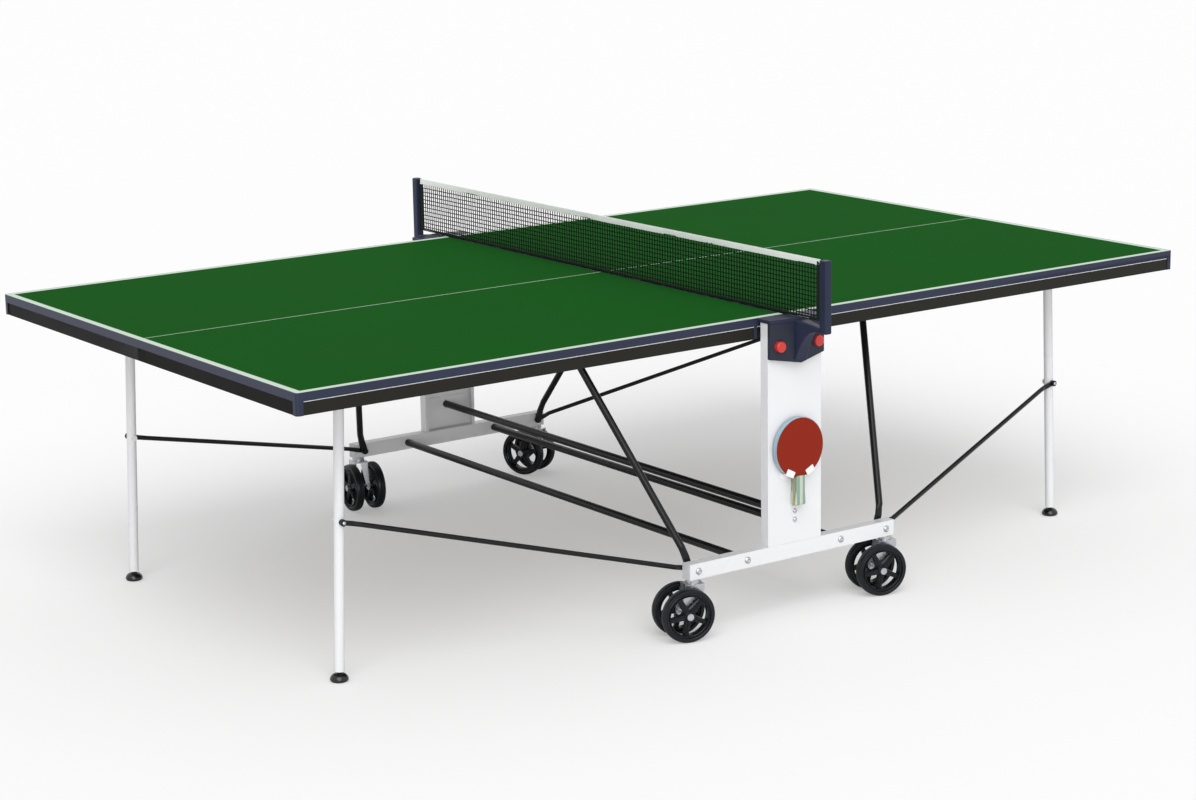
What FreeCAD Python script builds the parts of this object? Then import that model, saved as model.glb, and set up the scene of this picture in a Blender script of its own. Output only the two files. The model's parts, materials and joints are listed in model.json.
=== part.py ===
"""Folding ping pong table: two halves that roll on one pair of pedestals, a net, and a bat in its clips.

Frame: +X along the length, +Y from the near side to the far side, +Z up.
The origin is on the floor under the middle of the net. All sizes are in millimetres.
Each quarter of the table is drawn once, at +X and +Y, and mirrored to the others.
"""
import FreeCAD, Part
import math
import os

V = FreeCAD.Vector

# --- table top and its frame ---
TABLE_LENGTH = 2740.0
TABLE_WIDTH = 1525.0
TABLE_HEIGHT = 760.0
HALF_GAP = 5.0                 # between the two halves, under the net
PANEL_THICKNESS = 16.0
CORNER_RADIUS = 8.0
BAND_HEIGHT = 20.0             # edge band round the panel
BAND_THICKNESS = 2.0
APRON_HEIGHT = 52.0            # from the playing surface to the frame's lower edge
FRAME_TUBE_DEPTH = 20.0
FRAME_WALL = 1.5
CORNER_CAP_LENGTH = 17.0
CROSS_BAR_FROM_END = 570.0
CROSS_BAR_HEIGHT = 28.0
PIVOT_BLOCK_SIDE = 12.0        # steel beside, under and over the guide pin
PIVOT_BLOCK_UNDER = 3.0
PIVOT_BLOCK_OVER = 1.8
PIVOT_BLOCK_PAST_TUBE = 4.0    # how far it reaches inwards past the frame tube

# --- pedestals ---
TABLE_TO_COLUMN = 9.5          # free space between the table edge and the column
COLUMN_WIDTH = 170.0
COLUMN_DEPTH = 28.0
COLUMN_SHEET = 2.0
COLUMN_LIP = 10.0
COLUMN_BELOW_TOP = 8.0
RAIL_LENGTH = 656.0
RAIL_HEIGHT = 40.0
RAIL_DEPTH = 30.0
RAIL_WALL = 2.0
RAIL_ABOVE_FLOOR = 149.0
END_CAP_FLANGE = 2.0
END_CAP_PLUG = 14.0
CROSS_TUBE_DIAMETER = 20.0
CROSS_TUBE_WALL = 1.5
LOWER_TUBE_X = 150.0
UPPER_TUBE_ABOVE_RAIL = 69.0
TUBE_PLATE_WIDTH = 124.0
TUBE_PLATE_HEIGHT = 46.0
TUBE_PLATE_THICKNESS = 3.0
BOLT_HEAD_DIAMETER = 16.0
BOLT_HEAD_HEIGHT = 4.0
BOLT_DIAMETER = 8.0
SCREW_HEAD_DIAMETER = 11.0
SCREW_DIAMETER = 6.0
SCREW_SPACING = 22.0

# --- fold linkage, in the XZ plane of one half ---
GUIDE_PIN_X = 60.0
GUIDE_PIN_BELOW_TOP = 15.0
GUIDE_PIN_DIAMETER = 12.0
GUIDE_BLOCK_BELOW_PIN = 28.0
GUIDE_BLOCK_ABOVE_PIN = 10.0
GUIDE_BLOCK_INNER_X = 38.0
GUIDE_BLOCK_CHAMFER = 2.0
STRUT_FOOT_X = 302.0           # lower pivot on the rail
STRUT_HEAD_X = 472.0           # upper pivot under the half
STRUT_HEAD_FROM_SIDE = 259.5    # inwards from the table's long edge
STRUT_HEAD_BELOW_PANEL = 34.0
LEG_FROM_END = 242.0           # the leg's hinge, inwards from the table's end
FOOT_FROM_END = 213.0          # the foot; the leg leans a little outwards
BRACE_FROM_LEG_HINGE = 344.0   # down the leg
LEG_FROM_SIDE = 232.5
LEG_PIVOT_BELOW_PANEL = 16.0
LEG_TO_PANEL = 2.4             # free space over the leg's round top

# --- struts, legs and braces ---
STRUT_DIAMETER = 18.0
STRUT_WALL = 1.5
STRUT_TUBE_DIAMETER = 20.0     # the tube that joins the two struts of one half
STRUT_EYE_LENGTH = 30.0
STRUT_EYE_THICKNESS = 6.0
STRUT_TAPER = 26.0
STRUT_TUBE_PAST_STRUT = 1.8
LEG_DIAMETER = 25.0
LEG_WALL = 1.5
LEG_TUBE_DIAMETER = 22.0
BRACE_DIAMETER = 12.0
BRACE_EYE_LENGTH = 30.0
BRACE_EYE_THICKNESS = 5.0
BRACE_TAPER = 20.0
BRACE_BOSS_DIAMETER = 15.6
PIVOT_BOLT_DIAMETER = 8.0
PIVOT_HEAD_DIAMETER = 15.0
PIVOT_HEAD_HEIGHT = 5.0
HINGE_PLATE = 3.0
HINGE_PLATE_WIDTH = 40.0
HINGE_PLATE_RIM = 4.5          # steel round the tube that turns in it
HINGE_FLANGE_WIDTH = 21.0
HINGE_PLATE_SETBACK = 32.0     # from a tube's end to its hinge plate

# --- feet ---
FOOT_DIAMETER = 44.0
FOOT_HEIGHT = 20.0
FOOT_SOLE_DIAMETER = 36.0
FOOT_RIM_HEIGHT = 7.6
FOOT_LOWER_BULGE = 1.6
FOOT_UPPER_BULGE = 2.9
FOOT_NECK_DIAMETER = 15.0
FOOT_STEM_DIAMETER = 10.0
FOOT_STEM_LENGTH = 40.0
FOOT_GAP = 4.0                 # between the foot and the lower end of the leg
FOOT_NUT_LENGTH = 16.0

# --- casters ---
CASTER_X = 310.0
WHEEL_DIAMETER = 135.0
WHEEL_WIDTH = 24.0
WHEEL_SPACING = 66.0
WHEEL_RIM = 19.0
WHEEL_EDGE_RADIUS = 4.8
WHEEL_HUB_DIAMETER = 26.0
WHEEL_SPOKES = 5
WHEEL_SPOKE_WIDTH = 10.0
WHEEL_SPOKE_DEPTH = 12.0
WHEEL_FIRST_SPOKE = 90.0       # degrees from straight ahead, downwards
CASTER_TRAIL = 25.0
FORK_WIDTH = 38.0
FORK_LENGTH = 48.0
FORK_SHEET = 2.5
FORK_BELOW_RAIL = 10.0
FORK_TOP = 3.0
FORK_SHOULDER = 16.0           # height of the cheek's straight front edge
AXLE_DIAMETER = 8.0
AXLE_HEAD_DIAMETER = 17.0
AXLE_HEAD_HEIGHT = 5.0
AXLE_SPACER_DIAMETER = 14.4
KINGPIN_DIAMETER = 12.0
KINGPIN_HEAD_DIAMETER = 18.0
KINGPIN_HEAD_HEIGHT = 4.7
BEARING_DIAMETER = 34.0
CASTER_TURN = {"near_left": -16.0, "near_right": -16.0, "far_left": 83.0, "far_right": -66.0}

# --- latch housing and release buttons ---
HOUSING_WIDTH = 172.0
HOUSING_SIDE_DEPTH = 10.0
HOUSING_RIDGE_DEPTH = 26.0
HOUSING_WALL = 2.5
HOUSING_HEIGHT = 97.0
HOUSING_POINT = 15.0           # how far the middle hangs below the sides
HOUSING_COVER = 3.0
BUTTON_X = 60.0
BUTTON_BELOW_TOP = 66.0
BUTTON_DIAMETER = 28.0
BUTTON_LENGTH = 19.0
BUTTON_EDGE_RADIUS = 3.5
BUTTON_FLANGE = 3.0
BUTTON_FLANGE_THICKNESS = 2.0
BUTTON_TRAVEL = 5.0
BUTTON_STANDOFF = 6.5
BUTTON_WALL = 3.0
BUTTON_BORE_DEPTH = 11.0
BUTTON_STEM_DIAMETER = 7.0
SPRING_WIRE = 1.4
SPRING_TURNS = 5.0

# --- net ---
NET_HEIGHT = 152.5
NET_ABOVE_TABLE = 2.0
NET_OVERHANG = 152.5           # from the table edge to the middle of the post
NET_THICKNESS = 1.2
NET_BAND_HEIGHT = 15.0
NET_BAND_THICKNESS = 3.0
POST_X = 21.0
POST_Y = 23.0
POST_BELOW_TABLE = 27.0
POST_CHAMFER = 3.0
ARM_WIDTH = 24.0
ARM_TIP_HEIGHT = 12.0
ARM_ROOT_HEIGHT = 26.0

# --- bat and its clips ---
BAT_CENTRE_Z = 434.0
BAT_WIDTH = 148.0
BAT_HEIGHT = 150.0
BLADE_THICKNESS = 6.5
RUBBER_THICKNESS = 4.0
HANDLE_LENGTH = 71.0
HANDLE_OVER_BLADE = 4.0        # how far the grip runs up onto the blade
HANDLE_WIDTH = 27.0
HANDLE_FLARE = 5.0
HANDLE_THICKNESS = 24.0
BAT_TO_COLUMN = 1.0
CLIP_X = 34.0
CLIP_LENGTH = 26.0
CLIP_SHEET = 2.0
CLIP_LIP = 14.0

# --- clearances ---
RUNNING_FIT = 0.05             # radial, between a pin and the hole it turns in
SLIDE_GAP = 0.5                # beside a sliding face
SIDE_GAP = 1.0                 # between swinging pieces that pass side by side
CONTACT_GAP = 0.3              # between curved faces that all but touch
TINY = 1e-6                    # two coordinates nearer than this are the same

# --- places that follow from the sizes above ---
EDGE_X = TABLE_LENGTH / 2.0
EDGE_Y = TABLE_WIDTH / 2.0
INNER_X = HALF_GAP / 2.0
PANEL_Z = TABLE_HEIGHT - PANEL_THICKNESS
BAND_Z = TABLE_HEIGHT - BAND_HEIGHT
FRAME_Z = TABLE_HEIGHT - APRON_HEIGHT
FRAME_EDGE_X = EDGE_X - BAND_THICKNESS
FRAME_EDGE_Y = EDGE_Y - BAND_THICKNESS
FRAME_INNER_X = INNER_X + BAND_THICKNESS
FRAME_INNER_Y = FRAME_EDGE_Y - FRAME_TUBE_DEPTH
STRUT_HEAD_Y = EDGE_Y - STRUT_HEAD_FROM_SIDE
LEG_X = EDGE_X - LEG_FROM_END
LEG_Y = EDGE_Y - LEG_FROM_SIDE
COLUMN_IN = EDGE_Y + TABLE_TO_COLUMN
COLUMN_OUT = COLUMN_IN + COLUMN_DEPTH
COLUMN_WEB_IN = COLUMN_OUT - COLUMN_SHEET
RAIL_IN = COLUMN_OUT - RAIL_DEPTH
RAIL_Z = RAIL_ABOVE_FLOOR
RAIL_TOP = RAIL_Z + RAIL_HEIGHT
RAIL_MID_Y = COLUMN_OUT - RAIL_DEPTH / 2.0
PIVOT_Z = RAIL_Z + RAIL_HEIGHT / 2.0
UPPER_TUBE_Z = RAIL_TOP + UPPER_TUBE_ABOVE_RAIL
TUBE_PLATE_Y = COLUMN_WEB_IN - TUBE_PLATE_THICKNESS
GUIDE_PIN_Z = TABLE_HEIGHT - GUIDE_PIN_BELOW_TOP
GUIDE_BLOCK_IN = COLUMN_IN + COLUMN_SHEET + SLIDE_GAP
GUIDE_BLOCK_OUT = TUBE_PLATE_Y - SIDE_GAP
STRUT_HEAD_Z = PANEL_Z - STRUT_HEAD_BELOW_PANEL
LEG_PIVOT_Z = PANEL_Z - LEG_PIVOT_BELOW_PANEL
FOOT_X = EDGE_X - FOOT_FROM_END
LEG_LEAN = math.atan((FOOT_X - LEG_X) / (LEG_PIVOT_Z - FOOT_HEIGHT / 2.0))
LEG_END_Z = FOOT_HEIGHT + FOOT_GAP + LEG_DIAMETER / 2.0 * math.sin(LEG_LEAN)
BRACE_HEAD_X = LEG_X + BRACE_FROM_LEG_HINGE * math.sin(LEG_LEAN)
BRACE_HEAD_Z = LEG_PIVOT_Z - BRACE_FROM_LEG_HINGE * math.cos(LEG_LEAN)
BRACE_FOOT_OUT = RAIL_IN - SIDE_GAP
STRUT_FOOT_OUT = BRACE_FOOT_OUT - BRACE_EYE_THICKNESS - SIDE_GAP
BRACE_HEAD_IN = LEG_Y + LEG_DIAMETER / 2.0 + SLIDE_GAP
WHEEL_RADIUS = WHEEL_DIAMETER / 2.0
HOUSING_Z = TABLE_HEIGHT - HOUSING_HEIGHT
BUTTON_Z = TABLE_HEIGHT - BUTTON_BELOW_TOP
BUTTON_STEM_END = GUIDE_BLOCK_OUT + BUTTON_TRAVEL + SLIDE_GAP
NET_Z = TABLE_HEIGHT + NET_ABOVE_TABLE
NET_TOP = TABLE_HEIGHT + NET_HEIGHT
POST_MID_Y = EDGE_Y + NET_OVERHANG
BAT_MID_Y = COLUMN_OUT + BAT_TO_COLUMN + HANDLE_THICKNESS / 2.0

os.makedirs("parts", exist_ok=True)


# --- small shape helpers ---
def box(x0, x1, y0, y1, z0, z1):
    """Box between two corners."""
    return Part.makeBox(x1 - x0, y1 - y0, z1 - z0, V(x0, y0, z0))


def along(x, y, z, direction, length, diameter):
    """Cylinder that starts at a point and runs along a direction."""
    return Part.makeCylinder(diameter / 2.0, length, V(x, y, z), direction)


def bar_y(x, z, y0, y1, diameter):
    """Cylinder along Y."""
    return along(x, y0, z, V(0, 1, 0), y1 - y0, diameter)


def bar_z(x, y, z0, z1, diameter):
    """Upright cylinder."""
    return along(x, y, z0, V(0, 0, 1), z1 - z0, diameter)


def pipe_y(x, z, y0, y1, diameter, wall):
    """Tube along Y, open at both ends."""
    return bar_y(x, z, y0, y1, diameter).cut(bar_y(x, z, y0, y1, diameter - 2.0 * wall))


def plate_xz(points, y0, y1):
    """Plate with an outline of (x, z) points, between two Y planes."""
    wire = Part.makePolygon([V(x, y0, z) for x, z in points + points[:1]])
    return Part.Face(wire).extrude(V(0, y1 - y0, 0))


def plate_yz(points, x0, x1):
    """Plate with an outline of (y, z) points, between two X planes."""
    wire = Part.makePolygon([V(x0, y, z) for y, z in points + points[:1]])
    return Part.Face(wire).extrude(V(x1 - x0, 0, 0))


def plate_xy(points, z0, z1):
    """Plate with an outline of (x, y) points, between two levels."""
    wire = Part.makePolygon([V(x, y, z0) for x, y in points + points[:1]])
    return Part.Face(wire).extrude(V(0, 0, z1 - z0))


def upright_edges(shape):
    """The straight vertical edges of a shape."""
    return [edge for edge in shape.Edges if edge.BoundBox.XLength < TINY and edge.BoundBox.YLength < TINY]


def bulged_arc(start, end, bulge):
    """Arc in an XZ plane from start to end, its middle pushed out away from the upright axis."""
    way = end.sub(start)
    out = V(way.z, 0, -way.x).normalize() * bulge
    return Part.Arc(start, start + way * 0.5 + out, end).toShape()


def fuse(shapes):
    """One solid from shapes that meet."""
    whole = shapes[0].multiFuse(shapes[1:])
    return whole.removeSplitter()


def placed(shape, far, right):
    """Copy of a +X +Y shape, mirrored to the near or left side where asked."""
    copy = shape
    if not far:
        copy = copy.mirror(V(0, 0, 0), V(0, 1, 0))
    if not right:
        copy = copy.mirror(V(0, 0, 0), V(1, 0, 0))
    return copy


def both_ends(shape):
    """A shape and its mirror image across the table's long middle line."""
    return [placed(shape, False, True), placed(shape, True, True)]


def save(name, shapes):
    """Write one node as a STEP file of separate solids."""
    solids = [solid for shape in shapes for solid in shape.Solids]
    for solid in solids:
        assert solid.isValid() and solid.Volume > 0, name
    body = solids[0] if len(solids) == 1 else Part.makeCompound(solids)
    body.exportStep("parts/" + name + ".step")
    volume = sum(solid.Volume for solid in solids) / 1000.0
    print(f"{name:28s} solids {len(solids):2d}  volume {volume:10.1f} cm3")


SIDES = [("near", False), ("far", True)]
HALVES = [("left", False), ("right", True)]


# --- table halves ---
def half_outline(grow, z0, z1):
    """Prism over one half, its two outer corners rounded; grow is measured from the frame's edge."""
    x0 = FRAME_INNER_X - grow
    x1 = FRAME_EDGE_X + grow
    y1 = FRAME_EDGE_Y + grow
    radius = CORNER_RADIUS - BAND_THICKNESS + grow
    prism = box(x0, x1, -y1, y1, z0, z1)
    corners = [edge for edge in upright_edges(prism) if edge.BoundBox.XMin > x1 - TINY]
    return prism.makeFillet(radius, corners)


def pivot_block():
    """Steel block let into the panel's inner corner; the guide pin stands out of it."""
    radius = GUIDE_PIN_DIAMETER / 2.0
    half_width = radius + PIVOT_BLOCK_SIDE
    return box(GUIDE_PIN_X - half_width, GUIDE_PIN_X + half_width,
               FRAME_INNER_Y - PIVOT_BLOCK_PAST_TUBE, FRAME_EDGE_Y,
               GUIDE_PIN_Z - radius - PIVOT_BLOCK_UNDER, GUIDE_PIN_Z + radius + PIVOT_BLOCK_OVER)


def table_top():
    """Playing panel with a pocket for each pivot block."""
    panel = half_outline(0.0, PANEL_Z, TABLE_HEIGHT)
    for pocket in both_ends(pivot_block()):
        panel = panel.cut(pocket)
    return [panel]


def edge_band():
    """Thin band round the panel, and a cap over each outer corner of the frame."""
    band = half_outline(BAND_THICKNESS, BAND_Z, TABLE_HEIGHT).cut(half_outline(0.0, BAND_Z, TABLE_HEIGHT))
    hole = bar_y(GUIDE_PIN_X, GUIDE_PIN_Z, FRAME_EDGE_Y, EDGE_Y, GUIDE_PIN_DIAMETER)
    for pin in both_ends(hole):
        band = band.cut(pin)
    caps = half_outline(BAND_THICKNESS, FRAME_Z, BAND_Z).cut(half_outline(0.0, FRAME_Z, BAND_Z))
    corner = box(EDGE_X - CORNER_CAP_LENGTH, EDGE_X, EDGE_Y - CORNER_CAP_LENGTH, EDGE_Y, FRAME_Z, BAND_Z)
    return [band] + [caps.common(piece) for piece in both_ends(corner)]


def frame_tube(x0, x1, y0, y1, z0, hollow_axis):
    """Rectangular tube under the panel, open along its own length."""
    wall_x = 0.0 if hollow_axis == "x" else FRAME_WALL
    wall_y = 0.0 if hollow_axis == "y" else FRAME_WALL
    outer = box(x0, x1, y0, y1, z0, PANEL_Z)
    inner = box(x0 + wall_x, x1 - wall_x, y0 + wall_y, y1 - wall_y, z0 + FRAME_WALL, PANEL_Z - FRAME_WALL)
    return outer.cut(inner)


def apron_frame():
    """Steel frame under one half: two long tubes, two end tubes and a cross bar."""
    side = frame_tube(FRAME_INNER_X, FRAME_EDGE_X, FRAME_INNER_Y, FRAME_EDGE_Y, FRAME_Z, "x")
    side = side.common(half_outline(0.0, FRAME_Z, PANEL_Z)).cut(pivot_block())
    cross_x = EDGE_X - CROSS_BAR_FROM_END
    ends = []
    for x0, z0 in ((FRAME_INNER_X, FRAME_Z), (cross_x, PANEL_Z - CROSS_BAR_HEIGHT),
                   (FRAME_EDGE_X - FRAME_TUBE_DEPTH, FRAME_Z)):
        ends.append(frame_tube(x0, x0 + FRAME_TUBE_DEPTH, -FRAME_INNER_Y, FRAME_INNER_Y, z0, "y"))
    return both_ends(side) + ends


def hinge_plate(x, z, tube_end_y, tube_diameter):
    """Angle bracket under the panel that a swinging tube turns in."""
    y0 = tube_end_y - HINGE_PLATE_SETBACK
    half_width = HINGE_PLATE_WIDTH / 2.0
    upright = box(x - half_width, x + half_width, y0, y0 + HINGE_PLATE, z, PANEL_Z - HINGE_PLATE)
    nose = bar_y(x, z, y0, y0 + HINGE_PLATE, tube_diameter + 2.0 * HINGE_PLATE_RIM)
    flange = box(x - half_width, x + half_width, y0 + HINGE_PLATE - HINGE_FLANGE_WIDTH, y0 + HINGE_PLATE,
                 PANEL_Z - HINGE_PLATE, PANEL_Z)
    nose = nose.common(box(x - half_width, x + half_width, y0, y0 + HINGE_PLATE, 0.0, PANEL_Z))
    hole = bar_y(x, z, y0, y0 + HINGE_PLATE, tube_diameter + 2.0 * RUNNING_FIT)
    return fuse([upright, nose, flange]).cut(hole)


def hinge_brackets():
    """Brackets for the strut tube and the leg tube, and the two pivot blocks with their guide pins."""
    strut_plate = hinge_plate(STRUT_HEAD_X, STRUT_HEAD_Z, STRUT_HEAD_Y, STRUT_TUBE_DIAMETER)
    leg_plate = hinge_plate(LEG_X, LEG_PIVOT_Z, LEG_Y - LEG_DIAMETER / 2.0, LEG_TUBE_DIAMETER)
    pin = bar_y(GUIDE_PIN_X, GUIDE_PIN_Z, FRAME_EDGE_Y, GUIDE_BLOCK_OUT - SIDE_GAP, GUIDE_PIN_DIAMETER)
    block = fuse([pivot_block(), pin])
    return both_ends(strut_plate) + both_ends(leg_plate) + both_ends(block)


def guide_blocks():
    """Nylon blocks that slide in the columns; each carries one guide pin."""
    outer_x = COLUMN_WIDTH / 2.0 - COLUMN_SHEET - SLIDE_GAP
    block = box(GUIDE_BLOCK_INNER_X, outer_x, GUIDE_BLOCK_IN, GUIDE_BLOCK_OUT,
                GUIDE_PIN_Z - GUIDE_BLOCK_BELOW_PIN, GUIDE_PIN_Z + GUIDE_BLOCK_ABOVE_PIN)
    block = block.makeChamfer(GUIDE_BLOCK_CHAMFER, upright_edges(block))
    bore = bar_y(GUIDE_PIN_X, GUIDE_PIN_Z, GUIDE_BLOCK_IN, GUIDE_BLOCK_OUT,
                 GUIDE_PIN_DIAMETER + 2.0 * RUNNING_FIT)
    return both_ends(block.cut(bore))


# --- struts, legs and braces ---
def flat_eye(x, z, direction, y0, y1, width, length):
    """Flattened tube end: a plate with a round nose at (x, z) that runs along a direction."""
    across = V(-direction.z, 0, direction.x) * (width / 2.0)
    start = V(x, y0, z)
    finish = start + direction * length
    corners = [start + across, finish + across, finish - across, start - across]
    plate = Part.Face(Part.makePolygon(corners + corners[:1])).extrude(V(0, y1 - y0, 0))
    nose = bar_y(x, z, y0, y1, width)
    return fuse([plate, nose])


def taper(bend, away, thickness, centre, axis, diameter):
    """Transition from the end of a flat eye to a round section."""
    across = V(-away.z, 0, away.x) * (diameter / 2.0)
    thick = V(0, thickness / 2.0, 0)
    corners = [bend + across + thick, bend - across + thick, bend - across - thick, bend + across - thick]
    flat = Part.makePolygon(corners + corners[:1])
    circle = Part.Wire(Part.makeCircle(diameter / 2.0, centre, axis))
    return Part.makeLoft([flat, circle], True, True)


def round_start(pivot, away, thickness, eye_length, taper_length, diameter, stand):
    """Where the round part of a crimped tube starts; one side of it is flush with the eye."""
    offset = V(0, stand * (diameter - thickness) / 2.0, 0)
    return pivot + away * (eye_length + taper_length) + offset


def strut():
    """One strut: a tube from the joining tube down to a flat eye beside the rail."""
    y0 = STRUT_FOOT_OUT - STRUT_EYE_THICKNESS
    pivot = V(STRUT_FOOT_X, STRUT_FOOT_OUT - STRUT_EYE_THICKNESS / 2.0, PIVOT_Z)
    head = V(STRUT_HEAD_X, STRUT_HEAD_Y, STRUT_HEAD_Z)
    away = V(head.x - pivot.x, 0, head.z - pivot.z).normalize()
    start = round_start(pivot, away, STRUT_EYE_THICKNESS, STRUT_EYE_LENGTH, STRUT_TAPER, STRUT_DIAMETER, -1.0)
    axis = head.sub(start).normalize()
    length = head.sub(start).Length
    eye = flat_eye(pivot.x, pivot.z, away, y0, STRUT_FOOT_OUT, STRUT_DIAMETER, STRUT_EYE_LENGTH)
    cone = taper(pivot + away * STRUT_EYE_LENGTH, away, STRUT_EYE_THICKNESS, start, axis, STRUT_DIAMETER)
    rod = along(start.x, start.y, start.z, axis, length, STRUT_DIAMETER)
    bore = along(start.x, start.y, start.z, axis, length + STRUT_TUBE_DIAMETER,
                 STRUT_DIAMETER - 2.0 * STRUT_WALL)
    joining = bar_y(STRUT_HEAD_X, STRUT_HEAD_Z, 0.0, EDGE_Y, STRUT_TUBE_DIAMETER)
    hole = bar_y(STRUT_FOOT_X, PIVOT_Z, y0, STRUT_FOOT_OUT, PIVOT_BOLT_DIAMETER)
    return fuse([eye, cone, rod]).cut(bore).cut(joining).cut(hole)


def strut_frame():
    """Two struts on one cross tube, with the bolt that each carries in its lower eye."""
    end_y = STRUT_HEAD_Y + STRUT_DIAMETER / 2.0 + STRUT_TUBE_PAST_STRUT
    tube = pipe_y(STRUT_HEAD_X, STRUT_HEAD_Z, -end_y, end_y, STRUT_TUBE_DIAMETER, STRUT_WALL)
    inner = STRUT_FOOT_OUT - STRUT_EYE_THICKNESS
    shank = bar_y(STRUT_FOOT_X, PIVOT_Z, inner, STRUT_FOOT_OUT, PIVOT_BOLT_DIAMETER)
    head = bar_y(STRUT_FOOT_X, PIVOT_Z, inner - PIVOT_HEAD_HEIGHT, inner, PIVOT_HEAD_DIAMETER)
    return [tube] + both_ends(strut()) + both_ends(fuse([shank, head]))


def folded_edge_height():
    """Height of the guide pin when the half stands upright on its struts."""
    run = STRUT_HEAD_X - STRUT_FOOT_X
    rise = STRUT_HEAD_Z - PIVOT_Z
    folded_x = GUIDE_PIN_X + GUIDE_PIN_Z - STRUT_HEAD_Z
    folded_rise = math.sqrt(run ** 2 + rise ** 2 - (folded_x - STRUT_FOOT_X) ** 2)
    return PIVOT_Z + folded_rise - (STRUT_HEAD_X - GUIDE_PIN_X)


def on_upright_leg(z):
    """Height on the leg while it stands upright of a point that comes to height z once it leans."""
    return LEG_PIVOT_Z - (LEG_PIVOT_Z - z) / math.cos(LEG_LEAN)


def leaning(shape):
    """A piece of the upright leg, turned about the leg's hinge to its lean."""
    turned = shape.copy()
    turned.rotate(V(LEG_X, 0, LEG_PIVOT_Z), V(0, 1, 0), -math.degrees(LEG_LEAN))
    return turned


def leg():
    """One leg: a tube with a round top, drilled for its brace bolt."""
    low = on_upright_leg(LEG_END_Z)
    bolt_z = LEG_PIVOT_Z - BRACE_FROM_LEG_HINGE
    outer = bar_z(LEG_X, LEG_Y, low, LEG_PIVOT_Z + LEG_DIAMETER, LEG_DIAMETER)
    inner = bar_z(LEG_X, LEG_Y, low, LEG_PIVOT_Z + LEG_DIAMETER, LEG_DIAMETER - 2.0 * LEG_WALL)
    y0 = LEG_Y - LEG_DIAMETER
    y1 = LEG_Y + LEG_DIAMETER
    top = bar_y(LEG_X, LEG_PIVOT_Z, y0, y1, 2.0 * (LEG_PIVOT_BELOW_PANEL - LEG_TO_PANEL))
    below = box(LEG_X - LEG_DIAMETER, LEG_X + LEG_DIAMETER, y0, y1, low, LEG_PIVOT_Z)
    bolt = bar_y(LEG_X, bolt_z, y0, y1, PIVOT_BOLT_DIAMETER)
    return outer.cut(inner).common(fuse([top, below])).cut(bolt)


def leg_frame():
    """Two legs on one hinge tube, with the brace bolts and the nuts that take the feet."""
    leg_solid = bar_z(LEG_X, LEG_Y, 0.0, TABLE_HEIGHT, LEG_DIAMETER)
    tube = pipe_y(LEG_X, LEG_PIVOT_Z, -LEG_Y, LEG_Y, LEG_TUBE_DIAMETER, LEG_WALL)
    for post in both_ends(leg_solid):
        tube = tube.cut(post)
    bolt_z = LEG_PIVOT_Z - BRACE_FROM_LEG_HINGE
    inner_y = LEG_Y - LEG_DIAMETER / 2.0 - PIVOT_HEAD_HEIGHT
    outer_y = BRACE_HEAD_IN + BRACE_EYE_THICKNESS + SLIDE_GAP
    shank = bar_y(LEG_X, bolt_z, inner_y, outer_y, PIVOT_BOLT_DIAMETER)
    head = bar_y(LEG_X, bolt_z, outer_y, outer_y + PIVOT_HEAD_HEIGHT, PIVOT_HEAD_DIAMETER)
    nut = bar_y(LEG_X, bolt_z, inner_y, LEG_Y - LEG_DIAMETER / 2.0 - LEG_WALL, PIVOT_HEAD_DIAMETER)
    bolt = fuse([shank, head, nut.cut(leg_solid)])
    low = on_upright_leg(LEG_END_Z)
    insert = bar_z(LEG_X, LEG_Y, low, low + FOOT_NUT_LENGTH, LEG_DIAMETER - 2.0 * LEG_WALL)
    thread = bar_z(LEG_X, LEG_Y, low, low + FOOT_NUT_LENGTH, FOOT_STEM_DIAMETER + 2.0 * RUNNING_FIT)
    pieces = both_ends(leg()) + [tube] + both_ends(bolt) + both_ends(insert.cut(thread))
    return [leaning(piece) for piece in pieces]


def brace():
    """Thin rod from the rail end to the outer side of the leg, flattened at both ends."""
    foot_y = BRACE_FOOT_OUT - BRACE_EYE_THICKNESS / 2.0
    head_y = BRACE_HEAD_IN + BRACE_EYE_THICKNESS / 2.0
    pivots = [V(STRUT_FOOT_X, foot_y, PIVOT_Z), V(BRACE_HEAD_X, head_y, BRACE_HEAD_Z)]
    along_rod = V(BRACE_HEAD_X - STRUT_FOOT_X, 0, BRACE_HEAD_Z - PIVOT_Z).normalize()
    starts = []
    for pivot, away in zip(pivots, (along_rod, along_rod * -1.0)):
        starts.append(round_start(pivot, away, BRACE_EYE_THICKNESS, BRACE_EYE_LENGTH, BRACE_TAPER,
                                  BRACE_DIAMETER, 1.0))
    axis = starts[1].sub(starts[0]).normalize()
    length = starts[1].sub(starts[0]).Length
    pieces = [along(starts[0].x, starts[0].y, starts[0].z, axis, length, BRACE_DIAMETER)]
    for pivot, start, away in zip(pivots, starts, (along_rod, along_rod * -1.0)):
        y0 = pivot.y - BRACE_EYE_THICKNESS / 2.0
        y1 = pivot.y + BRACE_EYE_THICKNESS / 2.0
        pieces.append(flat_eye(pivot.x, pivot.z, away, y0, y1, BRACE_DIAMETER, BRACE_EYE_LENGTH))
        pieces.append(taper(pivot + away * BRACE_EYE_LENGTH, away, BRACE_EYE_THICKNESS, start, axis,
                            BRACE_DIAMETER))
    head_y1 = BRACE_HEAD_IN + BRACE_EYE_THICKNESS
    pieces.append(bar_y(BRACE_HEAD_X, BRACE_HEAD_Z, BRACE_HEAD_IN, head_y1, BRACE_BOSS_DIAMETER))
    hole = bar_y(BRACE_HEAD_X, BRACE_HEAD_Z, BRACE_HEAD_IN, head_y1, PIVOT_BOLT_DIAMETER + 2.0 * RUNNING_FIT)
    return fuse(pieces).cut(hole)


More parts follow.
